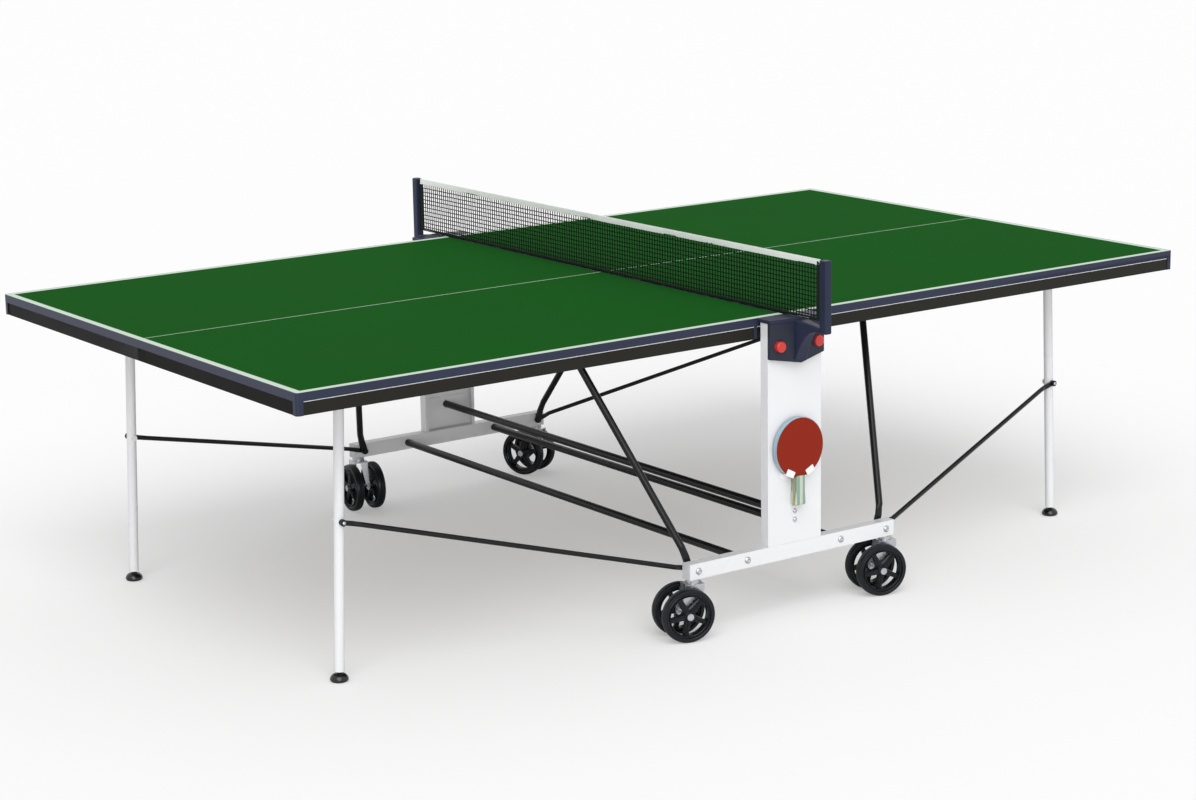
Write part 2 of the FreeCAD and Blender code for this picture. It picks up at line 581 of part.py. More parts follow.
def foot():
    """Round levelling foot on a screw that goes up into the leg."""
    bottom = V(FOOT_X, LEG_Y, 0)
    sole = V(FOOT_X + FOOT_SOLE_DIAMETER / 2.0, LEG_Y, 0)
    rim = V(FOOT_X + FOOT_DIAMETER / 2.0, LEG_Y, FOOT_RIM_HEIGHT)
    neck = V(FOOT_X + FOOT_NECK_DIAMETER / 2.0, LEG_Y, FOOT_HEIGHT)
    top = V(FOOT_X, LEG_Y, FOOT_HEIGHT)
    edges = [Part.LineSegment(bottom, sole).toShape(), bulged_arc(sole, rim, FOOT_LOWER_BULGE),
             bulged_arc(rim, neck, FOOT_UPPER_BULGE), Part.LineSegment(neck, top).toShape(),
             Part.LineSegment(top, bottom).toShape()]
    dome = Part.Face(Part.Wire(edges)).revolve(bottom, V(0, 0, 1), 360)
    low = on_upright_leg(FOOT_HEIGHT / 2.0)
    high = on_upright_leg(FOOT_HEIGHT + FOOT_STEM_LENGTH)
    stem = leaning(bar_z(LEG_X, LEG_Y, low, high, FOOT_STEM_DIAMETER))
    return fuse([dome, stem])


# --- pedestals ---
def column():
    """Sheet-metal column: a channel open towards the table, with a lip along each edge."""
    half = COLUMN_WIDTH / 2.0
    z1 = TABLE_HEIGHT - COLUMN_BELOW_TOP
    outer = box(-half, half, COLUMN_IN, COLUMN_OUT, RAIL_TOP, z1)
    inner = box(-half + COLUMN_SHEET, half - COLUMN_SHEET, COLUMN_IN + COLUMN_SHEET, COLUMN_WEB_IN,
                RAIL_TOP, z1)
    mouth = box(-half + COLUMN_LIP, half - COLUMN_LIP, COLUMN_IN, COLUMN_IN + COLUMN_SHEET, RAIL_TOP, z1)
    shell = outer.cut(inner).cut(mouth)
    for z in column_screw_heights():
        shell = shell.cut(bar_y(0.0, z, COLUMN_WEB_IN, COLUMN_OUT, SCREW_DIAMETER))
    stem_hole = BUTTON_STEM_DIAMETER + 2.0 * SLIDE_GAP
    for x in (-BUTTON_X, BUTTON_X):
        shell = shell.cut(bar_y(x, BUTTON_Z, COLUMN_WEB_IN, COLUMN_OUT, stem_hole))
    return shell


def column_screw_heights():
    """Heights of the two screws that hold the upper cross tube."""
    return (UPPER_TUBE_Z - SCREW_SPACING / 2.0, UPPER_TUBE_Z + SCREW_SPACING / 2.0)


def rail_bolt_places():
    """Distances along the rail of its bolts: two for the lower tubes and two for the struts."""
    return (-STRUT_FOOT_X, -LOWER_TUBE_X, LOWER_TUBE_X, STRUT_FOOT_X)


def base_rail():
    """Rectangular tube under the column, open at its ends and drilled for its bolts."""
    half = RAIL_LENGTH / 2.0
    outer = box(-half, half, RAIL_IN, COLUMN_OUT, RAIL_Z, RAIL_TOP)
    inner = box(-half, half, RAIL_IN + RAIL_WALL, COLUMN_OUT - RAIL_WALL, RAIL_Z + RAIL_WALL,
                RAIL_TOP - RAIL_WALL)
    rail = outer.cut(inner)
    for x in rail_bolt_places():
        rail = rail.cut(bar_y(x, PIVOT_Z, RAIL_IN, COLUMN_OUT, BOLT_DIAMETER))
    return rail


def rail_end_cap():
    """Plastic plug for the rail's +X end."""
    x1 = RAIL_LENGTH / 2.0
    flange = box(x1, x1 + END_CAP_FLANGE, RAIL_IN, COLUMN_OUT, RAIL_Z, RAIL_TOP)
    plug = box(x1 - END_CAP_PLUG, x1, RAIL_IN + RAIL_WALL, COLUMN_OUT - RAIL_WALL, RAIL_Z + RAIL_WALL,
               RAIL_TOP - RAIL_WALL)
    return fuse([flange, plug])


def tube_plate():
    """Pressed plate inside the column that the upper cross tube is screwed to."""
    half = TUBE_PLATE_WIDTH / 2.0
    plate = box(-half, half, TUBE_PLATE_Y, COLUMN_WEB_IN, UPPER_TUBE_Z - TUBE_PLATE_HEIGHT / 2.0,
                UPPER_TUBE_Z + TUBE_PLATE_HEIGHT / 2.0)
    for z in column_screw_heights():
        plate = plate.cut(bar_y(0.0, z, TUBE_PLATE_Y, COLUMN_WEB_IN, SCREW_DIAMETER))
    return plate


def rail_fasteners():
    """Bolts through the rail and screws through the column, for one pedestal."""
    pieces = []
    for x in rail_bolt_places():
        shank = bar_y(x, PIVOT_Z, RAIL_IN, COLUMN_OUT, BOLT_DIAMETER)
        head = bar_y(x, PIVOT_Z, COLUMN_OUT, COLUMN_OUT + BOLT_HEAD_HEIGHT, BOLT_HEAD_DIAMETER)
        pieces.append(fuse([shank, head]))
    for z in column_screw_heights():
        shank = bar_y(0.0, z, TUBE_PLATE_Y, COLUMN_OUT, SCREW_DIAMETER)
        head = bar_y(0.0, z, COLUMN_OUT, COLUMN_OUT + BOLT_HEAD_HEIGHT, SCREW_HEAD_DIAMETER)
        pieces.append(fuse([shank, head]))
    return pieces


# --- latch housing, buttons and net ---
def housing_prism(inset, z0, z1):
    """Prism over the housing's plan, a shallow ridge that points away from the table."""
    half = HOUSING_WIDTH / 2.0 - inset
    side = COLUMN_OUT + HOUSING_SIDE_DEPTH - inset
    ridge = COLUMN_OUT + HOUSING_RIDGE_DEPTH - inset
    plan = [(-half, COLUMN_OUT), (-half, side), (0.0, ridge), (half, side), (half, COLUMN_OUT)]
    return plate_xy(plan, z0, z1)


def latch_housing():
    """Plastic cover over the top of a column: a ridged shell with a pointed lower edge."""
    half = HOUSING_WIDTH / 2.0
    low = HOUSING_Z - HOUSING_POINT
    outer = housing_prism(0.0, low, TABLE_HEIGHT - HOUSING_COVER)
    inner = housing_prism(HOUSING_WALL, low + HOUSING_WALL, TABLE_HEIGHT - HOUSING_COVER)
    under = plate_xz([(-half, low), (0.0, low), (-half, HOUSING_Z)], COLUMN_OUT,
                     COLUMN_OUT + 2.0 * HOUSING_RIDGE_DEPTH)
    shell = outer.cut(inner)
    floor = housing_prism(0.0, low, HOUSING_Z + HOUSING_WALL)
    for wedge in (under, under.mirror(V(0, 0, 0), V(1, 0, 0))):
        lifted = wedge.copy()
        lifted.translate(V(0, 0, HOUSING_WALL))
        floor = floor.cut(wedge)
        shell = fuse([shell, floor.common(lifted)]).cut(wedge)
    cover = box(-half, half, EDGE_Y + SIDE_GAP, COLUMN_OUT, TABLE_HEIGHT - HOUSING_COVER, TABLE_HEIGHT)
    lid = housing_prism(0.0, TABLE_HEIGHT - HOUSING_COVER, TABLE_HEIGHT)
    shell = fuse([shell, cover, lid])
    for x in (-BUTTON_X, BUTTON_X):
        hole = bar_y(x, BUTTON_Z, COLUMN_OUT + HOUSING_WALL, COLUMN_OUT + 2.0 * HOUSING_RIDGE_DEPTH,
                     BUTTON_DIAMETER + 2.0 * SLIDE_GAP)
        shell = shell.cut(hole)
    return shell


def release_button():
    """Round push button with a flange inside the housing and a stem that reaches the latch."""
    y0 = COLUMN_OUT + BUTTON_STANDOFF
    y1 = y0 + BUTTON_LENGTH
    cap = bar_y(BUTTON_X, BUTTON_Z, y0, y1, BUTTON_DIAMETER)
    rim = [edge for edge in cap.Edges if abs(edge.BoundBox.YMin - y1) < TINY]
    cap = cap.makeFillet(BUTTON_EDGE_RADIUS, rim)
    flange = bar_y(BUTTON_X, BUTTON_Z, y0, y0 + BUTTON_FLANGE_THICKNESS,
                   BUTTON_DIAMETER + 2.0 * BUTTON_FLANGE)
    bore = bar_y(BUTTON_X, BUTTON_Z, y0, y0 + BUTTON_BORE_DEPTH, BUTTON_DIAMETER - 2.0 * BUTTON_WALL)
    stem = bar_y(BUTTON_X, BUTTON_Z, BUTTON_STEM_END, y0 + BUTTON_BORE_DEPTH, BUTTON_STEM_DIAMETER)
    return fuse([fuse([cap, flange]).cut(bore), stem])


def latch_spring():
    """Coil spring between the column and the inside of one button."""
    radius = BUTTON_DIAMETER / 2.0 - BUTTON_WALL - SPRING_WIRE
    room = BUTTON_STANDOFF + BUTTON_BORE_DEPTH - 2.0 * CONTACT_GAP
    height = room - SPRING_WIRE
    helix = Part.makeHelix(height / SPRING_TURNS, height, radius)
    section = Part.Wire(Part.makeCircle(SPRING_WIRE / 2.0, V(radius, 0, 0), V(0, 1, 0)))
    coil = Part.Wire(helix).makePipeShell([section], True, True)
    coil.rotate(V(0, 0, 0), V(1, 0, 0), -90)
    coil.translate(V(BUTTON_X, COLUMN_OUT + CONTACT_GAP + SPRING_WIRE / 2.0, BUTTON_Z))
    return coil


def net_post():
    """Net post with the arm that holds it to the latch housing."""
    y0 = POST_MID_Y - POST_Y / 2.0
    y1 = POST_MID_Y + POST_Y / 2.0
    z0 = TABLE_HEIGHT - POST_BELOW_TABLE
    post = box(-POST_X / 2.0, POST_X / 2.0, y0, y1, z0, NET_TOP)
    top_edges = [edge for edge in post.Edges if edge.BoundBox.ZMin > NET_TOP - POST_CHAMFER]
    post = post.makeChamfer(POST_CHAMFER, upright_edges(post) + top_edges)
    root_y = COLUMN_OUT + HOUSING_SIDE_DEPTH
    side = plate_yz([(root_y, z0), (y0 + POST_CHAMFER, z0), (y0 + POST_CHAMFER, z0 + ARM_TIP_HEIGHT),
                     (root_y, z0 + ARM_ROOT_HEIGHT)], -ARM_WIDTH / 2.0, ARM_WIDTH / 2.0)
    arm = side.cut(housing_prism(0.0, 0.0, NET_TOP))
    return fuse([post, arm])


def net_sheet(z0, z1, thickness):
    """Upright strip between the two posts."""
    half = POST_MID_Y - POST_Y / 2.0
    return box(-thickness / 2.0, thickness / 2.0, -half, half, z0, z1)


# --- bat and clips, on the near column ---
def bat_outline(grow, y0, y1):
    """Oval blade outline, between two distances from the table's middle plane."""
    width = BAT_WIDTH / 2.0 + grow
    height = BAT_HEIGHT / 2.0 + grow
    oval = Part.Ellipse(V(0, height, 0), V(width, 0, 0), V(0, 0, 0)).toShape()
    oval = Part.Face(Part.Wire(oval))
    solid = oval.extrude(V(0, 0, y1 - y0))
    solid.rotate(V(0, 0, 0), V(1, 0, 0), 90)
    solid.translate(V(0, y1, BAT_CENTRE_Z))
    return solid


def handle_shape(y0, y1):
    """Grip outline that widens towards its end."""
    top = BAT_CENTRE_Z - BAT_HEIGHT / 2.0 + HANDLE_OVER_BLADE
    low = BAT_CENTRE_Z - BAT_HEIGHT / 2.0 - HANDLE_LENGTH
    half = HANDLE_WIDTH / 2.0
    end = half + HANDLE_FLARE / 2.0
    return plate_xz([(-half, top), (-half, (top + low) / 2.0), (-end, low), (end, low),
                     (half, (top + low) / 2.0), (half, top)], y0, y1)


def bat_parts():
    """Blade, handle halves and the two rubbers, for the far side; the near bat is their mirror image."""
    blade_in = BAT_MID_Y - BLADE_THICKNESS / 2.0
    blade_out = BAT_MID_Y + BLADE_THICKNESS / 2.0
    tongue = handle_shape(blade_in, blade_out)
    blade = fuse([bat_outline(0.0, blade_in, blade_out), tongue])
    scale_in = handle_shape(BAT_MID_Y - HANDLE_THICKNESS / 2.0, blade_in)
    scale_out = handle_shape(blade_out, BAT_MID_Y + HANDLE_THICKNESS / 2.0)
    grip = handle_shape(0.0, 2.0 * BAT_MID_Y)
    back = bat_outline(0.0, blade_in - RUBBER_THICKNESS, blade_in).cut(grip)
    front = bat_outline(0.0, blade_out, blade_out + RUBBER_THICKNESS).cut(grip)
    return {"bat_blade": [blade], "bat_handle": [scale_in, scale_out], "bat_rubber_front": [front],
            "bat_rubber_back": [back]}


def bat_clip():
    """Clip that the lower edge of the blade rests in: a back tab, a shelf and a front lip."""
    ratio = CLIP_X / (BAT_WIDTH / 2.0)
    drop = BAT_HEIGHT / 2.0 * math.sqrt(1.0 - ratio ** 2)
    slope = math.degrees(math.atan(BAT_HEIGHT / BAT_WIDTH * ratio / math.sqrt(1.0 - ratio ** 2)))
    face_y = BAT_MID_Y + BLADE_THICKNESS / 2.0 + RUBBER_THICKNESS + CONTACT_GAP
    half = CLIP_LENGTH / 2.0
    shelf = box(-half, half, COLUMN_OUT, face_y + CLIP_SHEET, -CLIP_SHEET - CONTACT_GAP, -CONTACT_GAP)
    lip = box(-half, half, face_y, face_y + CLIP_SHEET, -CONTACT_GAP, CLIP_LIP)
    tab = box(-half, half, COLUMN_OUT, COLUMN_OUT + CLIP_SHEET, -CLIP_LIP, -CLIP_SHEET - CONTACT_GAP)
    clip = fuse([shelf, lip, tab])
    clip.rotate(V(0, 0, 0), V(0, 1, 0), -slope)
    clip.translate(V(CLIP_X, 0, BAT_CENTRE_Z - drop))
    return clip


# --- casters ---
def caster_stem():
    """Kingpin under the rail, with the bearing ring above the fork and a head below it."""
    fork_z = RAIL_Z - FORK_BELOW_RAIL
    ring = bar_z(0.0, 0.0, fork_z + CONTACT_GAP, RAIL_Z, BEARING_DIAMETER)
    head_top = fork_z - FORK_TOP - CONTACT_GAP
    pin = bar_z(0.0, 0.0, head_top - KINGPIN_HEAD_HEIGHT, RAIL_Z, KINGPIN_DIAMETER)
    head = bar_z(0.0, 0.0, head_top - KINGPIN_HEAD_HEIGHT, head_top, KINGPIN_HEAD_DIAMETER)
    return fuse([ring, pin, head])


def caster_fork():
    """Pressed fork between the two wheels, and the axle through its lower end."""
    z1 = RAIL_Z - FORK_BELOW_RAIL
    z0 = z1 - FORK_TOP
    half_y = FORK_WIDTH / 2.0
    half_x = FORK_LENGTH / 2.0
    top = box(-half_x, half_x, -half_y, half_y, z0, z1)
    top = top.cut(bar_z(0.0, 0.0, z0, z1, KINGPIN_DIAMETER + 2.0 * RUNNING_FIT))
    cheek_radius = WHEEL_HUB_DIAMETER / 2.0
    outline = [(half_x, z1), (half_x, z1 - FORK_SHOULDER), (cheek_radius - CASTER_TRAIL, WHEEL_RADIUS),
               (-cheek_radius - CASTER_TRAIL, WHEEL_RADIUS), (-half_x, z1)]
    cheek = plate_xz(outline, half_y - FORK_SHEET, half_y)
    round_end = bar_y(-CASTER_TRAIL, WHEEL_RADIUS, half_y - FORK_SHEET, half_y, WHEEL_HUB_DIAMETER)
    cheek = fuse([cheek, round_end])
    cheek = cheek.cut(bar_y(-CASTER_TRAIL, WHEEL_RADIUS, 0.0, half_y, AXLE_DIAMETER))
    fork = fuse([top] + both_ends(cheek))
    wheel_out = (WHEEL_SPACING + WHEEL_WIDTH) / 2.0
    wheel_in = (WHEEL_SPACING - WHEEL_WIDTH) / 2.0
    end_y = wheel_out + CONTACT_GAP + AXLE_HEAD_HEIGHT
    core = bar_y(-CASTER_TRAIL, WHEEL_RADIUS, -end_y, end_y, AXLE_DIAMETER)
    spacer = bar_y(-CASTER_TRAIL, WHEEL_RADIUS, half_y, wheel_in - CONTACT_GAP, AXLE_SPACER_DIAMETER)
    head = bar_y(-CASTER_TRAIL, WHEEL_RADIUS, end_y - AXLE_HEAD_HEIGHT, end_y, AXLE_HEAD_DIAMETER)
    axle = fuse([core] + both_ends(spacer) + both_ends(head))
    return [fork, axle]


def wheel(y_side):
    """One wheel: a rounded tread ring, a hub and spokes; y_side is +1 or -1, its side of the fork."""
    y0 = y_side * WHEEL_SPACING / 2.0 - WHEEL_WIDTH / 2.0
    y1 = y0 + WHEEL_WIDTH
    mid = (y0 + y1) / 2.0
    ring = bar_y(0.0, 0.0, y0, y1, WHEEL_DIAMETER)
    rims = [edge for edge in ring.Edges if edge.BoundBox.YLength < TINY]
    ring = ring.makeFillet(WHEEL_EDGE_RADIUS, rims)
    ring = ring.cut(bar_y(0.0, 0.0, y0, y1, WHEEL_DIAMETER - 2.0 * WHEEL_RIM))
    hub = bar_y(0.0, 0.0, y0, y1, WHEEL_HUB_DIAMETER)
    reach = WHEEL_RADIUS - WHEEL_RIM / 2.0
    spokes = []
    for index in range(WHEEL_SPOKES):
        spoke = box(0.0, reach, mid - WHEEL_SPOKE_DEPTH / 2.0, mid + WHEEL_SPOKE_DEPTH / 2.0,
                    -WHEEL_SPOKE_WIDTH / 2.0, WHEEL_SPOKE_WIDTH / 2.0)
        spoke.rotate(V(0, 0, 0), V(0, 1, 0), WHEEL_FIRST_SPOKE + index * 360.0 / WHEEL_SPOKES)
        spokes.append(spoke)
    body = fuse([ring, hub] + spokes)
    body = body.cut(bar_y(0.0, 0.0, y0, y1, AXLE_DIAMETER + 2.0 * RUNNING_FIT))
    body.translate(V(-CASTER_TRAIL, 0, WHEEL_RADIUS))
    return body


def at_caster(shape, side, half):
    """Copy of a caster piece, turned to its resting direction and set under its rail end."""
    copy = shape.copy()
    copy.rotate(V(0, 0, 0), V(0, 0, 1), CASTER_TURN[side + "_" + half])
    x = CASTER_X if half == "right" else -CASTER_X
    y = RAIL_MID_Y if side == "far" else -RAIL_MID_Y
    copy.translate(V(x, y, 0))
    return copy


# --- write every node ---
def write_halves():
    """Nodes of the two table halves."""
    makers = {"table_top": table_top, "edge_band": edge_band, "apron_frame": apron_frame,
              "hinge_brackets": hinge_brackets, "guide_blocks": guide_blocks,
              "strut_frame": strut_frame, "leg_frame": leg_frame}
    for name, maker in makers.items():
        shapes = maker()
        for half, is_right in HALVES:
            save(name + "_" + half, [placed(shape, True, is_right) for shape in shapes])
    for name, shape in (("brace", brace()), ("levelling_foot", foot())):
        for side, is_far in SIDES:
            for half, is_right in HALVES:
                save("_".join((name, side, half)), [placed(shape, is_far, is_right)])


def write_pedestals():
    """Nodes that stand still: pedestals, housings and net."""
    for side, is_far in SIDES:
        save("column_" + side, [placed(column(), is_far, True)])
        save("base_rail_" + side, [placed(base_rail(), is_far, True)])
        save("latch_housing_" + side, [placed(latch_housing(), is_far, True)])
        save("net_post_" + side, [placed(net_post(), is_far, True)])
    cap = rail_end_cap()
    corners = [(is_far, is_right) for _, is_far in SIDES for _, is_right in HALVES]
    save("rail_end_caps", [placed(cap, is_far, is_right) for is_far, is_right in corners])
    save("tube_plates", both_ends(tube_plate()))
    save("rail_fasteners", [piece for part in rail_fasteners() for piece in both_ends(part)])
    save("latch_springs", [placed(latch_spring(), is_far, is_right) for is_far, is_right in corners])
    save("upper_cross_tube", [pipe_y(0.0, UPPER_TUBE_Z, -TUBE_PLATE_Y, TUBE_PLATE_Y,
                                     CROSS_TUBE_DIAMETER, CROSS_TUBE_WALL)])
    save("lower_cross_tubes", [pipe_y(x, PIVOT_Z, -RAIL_IN, RAIL_IN, CROSS_TUBE_DIAMETER, CROSS_TUBE_WALL)
                               for x in (-LOWER_TUBE_X, LOWER_TUBE_X)])
    save("net_mesh", [net_sheet(NET_Z, NET_TOP - NET_BAND_HEIGHT, NET_THICKNESS)])
    save("net_band", [net_sheet(NET_TOP - NET_BAND_HEIGHT, NET_TOP, NET_BAND_THICKNESS)])
    clip = bat_clip()
    save("bat_clips", [placed(clip, False, True), placed(clip, False, False)])


def write_small_movers():
    """Nodes of the bat, the buttons and the casters."""
    for name, shapes in bat_parts().items():
        save(name, [placed(shape, False, True) for shape in shapes])
    button = release_button()
    fork = caster_fork()
    stems = []
    for side, is_far in SIDES:
        for half, is_right in HALVES:
            place = side + "_" + half
            save("release_button_" + place, [placed(button, is_far, is_right)])
            save("caster_fork_" + place, [at_caster(shape, side, half) for shape in fork])
            save("wheel_inner_" + place, [at_caster(wheel(1.0), side, half)])
            save("wheel_outer_" + place, [at_caster(wheel(-1.0), side, half)])
            stems.append(at_caster(caster_stem(), side, half))
    save("caster_stems", stems)


write_halves()
write_pedestals()
write_small_movers()
print(f"guide pin height when folded {folded_edge_height():.3f}")
print(f"brace bolt height {BRACE_HEAD_Z:.3f}")
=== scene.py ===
"""Looks of a folding ping pong table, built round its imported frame.

Units are metres in the frame's own axes: +X along the table, +Y along the net, +Z up. Sizes that are
given in millimetres are multiplied by MM. Every finished piece sits at the origin with its place in its mesh.
"""
import json
import logging
import math
from dataclasses import dataclass
from enum import Enum
from typing import Any, Iterable

import bmesh
import bpy
from mathutils import Matrix, Vector


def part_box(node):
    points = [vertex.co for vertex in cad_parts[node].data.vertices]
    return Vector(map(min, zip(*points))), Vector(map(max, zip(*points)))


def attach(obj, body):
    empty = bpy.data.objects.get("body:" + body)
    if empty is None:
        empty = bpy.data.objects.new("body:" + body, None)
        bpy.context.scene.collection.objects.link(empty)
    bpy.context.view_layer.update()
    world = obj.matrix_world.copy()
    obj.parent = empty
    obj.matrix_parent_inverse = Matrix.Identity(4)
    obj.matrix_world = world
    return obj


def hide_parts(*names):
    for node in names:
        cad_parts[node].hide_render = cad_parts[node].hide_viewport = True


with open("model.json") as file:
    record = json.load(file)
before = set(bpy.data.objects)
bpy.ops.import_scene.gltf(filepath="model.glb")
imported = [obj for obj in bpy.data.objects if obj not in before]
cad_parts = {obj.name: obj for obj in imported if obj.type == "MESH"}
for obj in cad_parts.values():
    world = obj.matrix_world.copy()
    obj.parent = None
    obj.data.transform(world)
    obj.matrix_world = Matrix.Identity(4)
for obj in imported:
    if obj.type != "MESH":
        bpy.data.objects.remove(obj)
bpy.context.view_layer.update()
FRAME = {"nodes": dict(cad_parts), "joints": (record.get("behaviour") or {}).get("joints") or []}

MM = 0.001
MERGE = 1e-6
SHARP_ANGLE = math.radians(38.0)
FLAT_ANGLE = math.radians(0.8)
LOG = logging.getLogger("ping_pong_table")


class Side(Enum):
    """The two long sides of the table; the value is the sign of Y."""

    NEAR = -1
    FAR = 1


class Half(Enum):
    """The two halves of the table; the value is the sign of X."""

    LEFT = -1
    RIGHT = 1


def places() -> list[tuple[Side, Half, str]]:
    """The four quarters of the table, each with the ending that its nodes' names have."""
    return [(side, half, f"{side.name.lower()}_{half.name.lower()}") for side in Side for half in Half]


# --- colours, nodes and finishes ---
def linear(code: str, gain: float = 1.0) -> tuple[float, float, float, float]:
    """Turns an sRGB hex colour into linear RGBA.

    Args:
        code: Six hex digits.
        gain: Factor on the linear value, for a lighter or darker shade.

    Returns:
        Linear red, green, blue and an alpha of 1.
    """
    channels = []
    for start in (0, 2, 4):
        value = int(code[start:start + 2], 16) / 255.0
        value = value / 12.92 if value <= 0.04045 else ((value + 0.055) / 1.055) ** 2.4
        channels.append(min(1.0, value * gain))
    return (channels[0], channels[1], channels[2], 1.0)


def add_node(tree: bpy.types.NodeTree, kind: str, inputs: dict[Any, Any] | None = None,
             **settings: Any) -> bpy.types.Node:
    """Adds one node with its settings, and gives its inputs a value or a link.

    Args:
        tree: Shader or geometry tree that gets the node.
        kind: Node type.
        inputs: Input name or index, and a plain value or the socket that feeds it.
        settings: Attributes of the node.

    Returns:
        The new node.
    """
    node = tree.nodes.new(kind)
    for key, value in settings.items():
        setattr(node, key, value)
    for key, value in (inputs or {}).items():
        if isinstance(value, bpy.types.NodeSocket):
            tree.links.new(value, node.inputs[key])
        else:
            node.inputs[key].default_value = value
    return node


@dataclass(frozen=True)
class Finish:
    """A real surface: its colour, gloss, and the grain that its making leaves.

    The grain is a fine relief, the mottle a broad change of shade, and both are sized in millimetres.
    """

    name: str
    colour: str
    roughness: float
    metallic: float = 0.0
    grain_mm: float = 1.5
    grain_depth_mm: float = 0.02
    mottle: float = 0.05
    mottle_mm: float = 90.0
    gloss_spread: float = 0.08
    stretch: tuple[float, float, float] = (1.0, 1.0, 1.0)
    shader_values: tuple[tuple[str, float], ...] = ()

    def tint(self, tree: bpy.types.NodeTree, place: bpy.types.NodeSocket,
             shade: bpy.types.NodeSocket) -> bpy.types.NodeSocket:
        """Colour of the surface: two close shades of one colour, mixed by the mottle.

        Args:
            tree: The material's node tree.
            place: Object coordinates.
            shade: Mottle value from 0 to 1.

        Returns:
            The colour socket.
        """
        darker = linear(self.colour, 1.0 - self.mottle)
        lighter = linear(self.colour, 1.0 + self.mottle)
        return mix_colours(tree, shade, darker, lighter)

    def relief(self, tree: bpy.types.NodeTree, place: bpy.types.NodeSocket) -> bpy.types.NodeSocket:
        """Height of the surface's grain, from 0 to 1.

        Args:
            tree: The material's node tree.
            place: Object coordinates, stretched.

        Returns:
            The height socket.
        """
        grain = add_node(tree, "ShaderNodeTexNoise", {"Vector": place, "Scale": 1.0 / (self.grain_mm * MM),
                                                      "Detail": 2.0, "Roughness": 0.55})
        return grain.outputs["Fac"]

    def material(self) -> bpy.types.Material:
        """The finish as a material, made once.

        Returns:
            The new or the earlier material of this name.
        """
        found = bpy.data.materials.get(self.name)
        if found:
            return found
        made = bpy.data.materials.new(self.name)
        made.use_nodes = True
        tree = made.node_tree
        shader = tree.nodes["Principled BSDF"]
        coords = add_node(tree, "ShaderNodeTexCoord").outputs["Object"]
        mapping = add_node(tree, "ShaderNodeMapping", {"Vector": coords, "Scale": self.stretch})
        place = mapping.outputs["Vector"]
        cloud = add_node(tree, "ShaderNodeTexNoise", {"Vector": place, "Scale": 1.0 / (self.mottle_mm * MM),
                                                      "Detail": 3.0}).outputs["Fac"]
        gloss = add_node(tree, "ShaderNodeMapRange", {"Value": cloud, "From Min": 0.3, "From Max": 0.7,
                                                      "To Min": self.roughness - self.gloss_spread / 2.0,
                                                      "To Max": self.roughness + self.gloss_spread / 2.0})
        bump = add_node(tree, "ShaderNodeBump", {"Height": self.relief(tree, place), "Strength": 1.0,
                                                 "Distance": self.grain_depth_mm * MM})
        tree.links.new(self.tint(tree, coords, cloud), shader.inputs["Base Color"])
        tree.links.new(gloss.outputs["Result"], shader.inputs["Roughness"])
        tree.links.new(bump.outputs["Normal"], shader.inputs["Normal"])
        shader.inputs["Metallic"].default_value = self.metallic
        for socket, value in self.shader_values:
            shader.inputs[socket].default_value = value
        made.diffuse_color = linear(self.colour)
        return made


def mix_colours(tree: bpy.types.NodeTree, share: Any, first: Any, second: Any) -> bpy.types.NodeSocket:
    """Mixes two colours, each a value or a socket, by a share from 0 to 1."""
    return add_node(tree, "ShaderNodeMix", {0: share, 6: first, 7: second}, data_type="RGBA").outputs[2]


def math_of(tree: bpy.types.NodeTree, operation: str, *values: Any) -> bpy.types.NodeSocket:
    """One arithmetic step on values or sockets."""
    return add_node(tree, "ShaderNodeMath", dict(enumerate(values)), operation=operation).outputs[0]


@dataclass(frozen=True)
class PlayingLacquer(Finish):
    """Matt green acrylic rolled on board, with screened white lines, and a brown backing sheet below."""

    edge_x: float = 1.370
    edge_y: float = 0.7625
    edge_line: float = 20.0 * MM
    centre_line: float = 3.0 * MM
    backing_below: float = 0.7445
    line_colour: str = "D3E4D4"
    backing_colour: str = "5B4A38"

    def tint(self, tree: bpy.types.NodeTree, place: bpy.types.NodeSocket,
             shade: bpy.types.NodeSocket) -> bpy.types.NodeSocket:
        """Green ground with the edge lines and the centre line on it.

        Args:
            tree: The material's node tree.
            place: Object coordinates.
            shade: Mottle value from 0 to 1.

        Returns:
            The colour socket.
        """
        ground = super().tint(tree, place, shade)
        axes = add_node(tree, "ShaderNodeSeparateXYZ", {"Vector": place})
        along = math_of(tree, "ABSOLUTE", axes.outputs["X"])
        across = math_of(tree, "ABSOLUTE", axes.outputs["Y"])
        line = math_of(tree, "MAXIMUM", math_of(tree, "GREATER_THAN", along, self.edge_x - self.edge_line),
                       math_of(tree, "GREATER_THAN", across, self.edge_y - self.edge_line))
        line = math_of(tree, "MAXIMUM", line, math_of(tree, "LESS_THAN", across, self.centre_line / 2.0))
        painted = mix_colours(tree, line, ground, linear(self.line_colour))
        under = math_of(tree, "LESS_THAN", axes.outputs["Z"], self.backing_below)
        return mix_colours(tree, under, painted, linear(self.backing_colour))


@dataclass(frozen=True)
class Woven(Finish):
    """Plain-woven tape: two sets of threads that cross, in the plane of the net."""

    thread_mm: float = 1.4

    def relief(self, tree: bpy.types.NodeTree, place: bpy.types.NodeSocket) -> bpy.types.NodeSocket:
        """Crossing threads, drawn about three times as coarse as the real ones so that they show.

        Args:
            tree: The material's node tree.
            place: Object coordinates, stretched.

        Returns:
            The height socket.
        """
        scale = 1.0 / (self.thread_mm * MM)
        waves = [add_node(tree, "ShaderNodeTexWave", {"Vector": place, "Scale": scale / math.tau * 2.0,
                                                      "Distortion": 0.6, "Detail": 0.0},
                          bands_direction=axis).outputs["Fac"] for axis in ("Y", "Z")]
        return math_of(tree, "MULTIPLY", waves[0], waves[1])


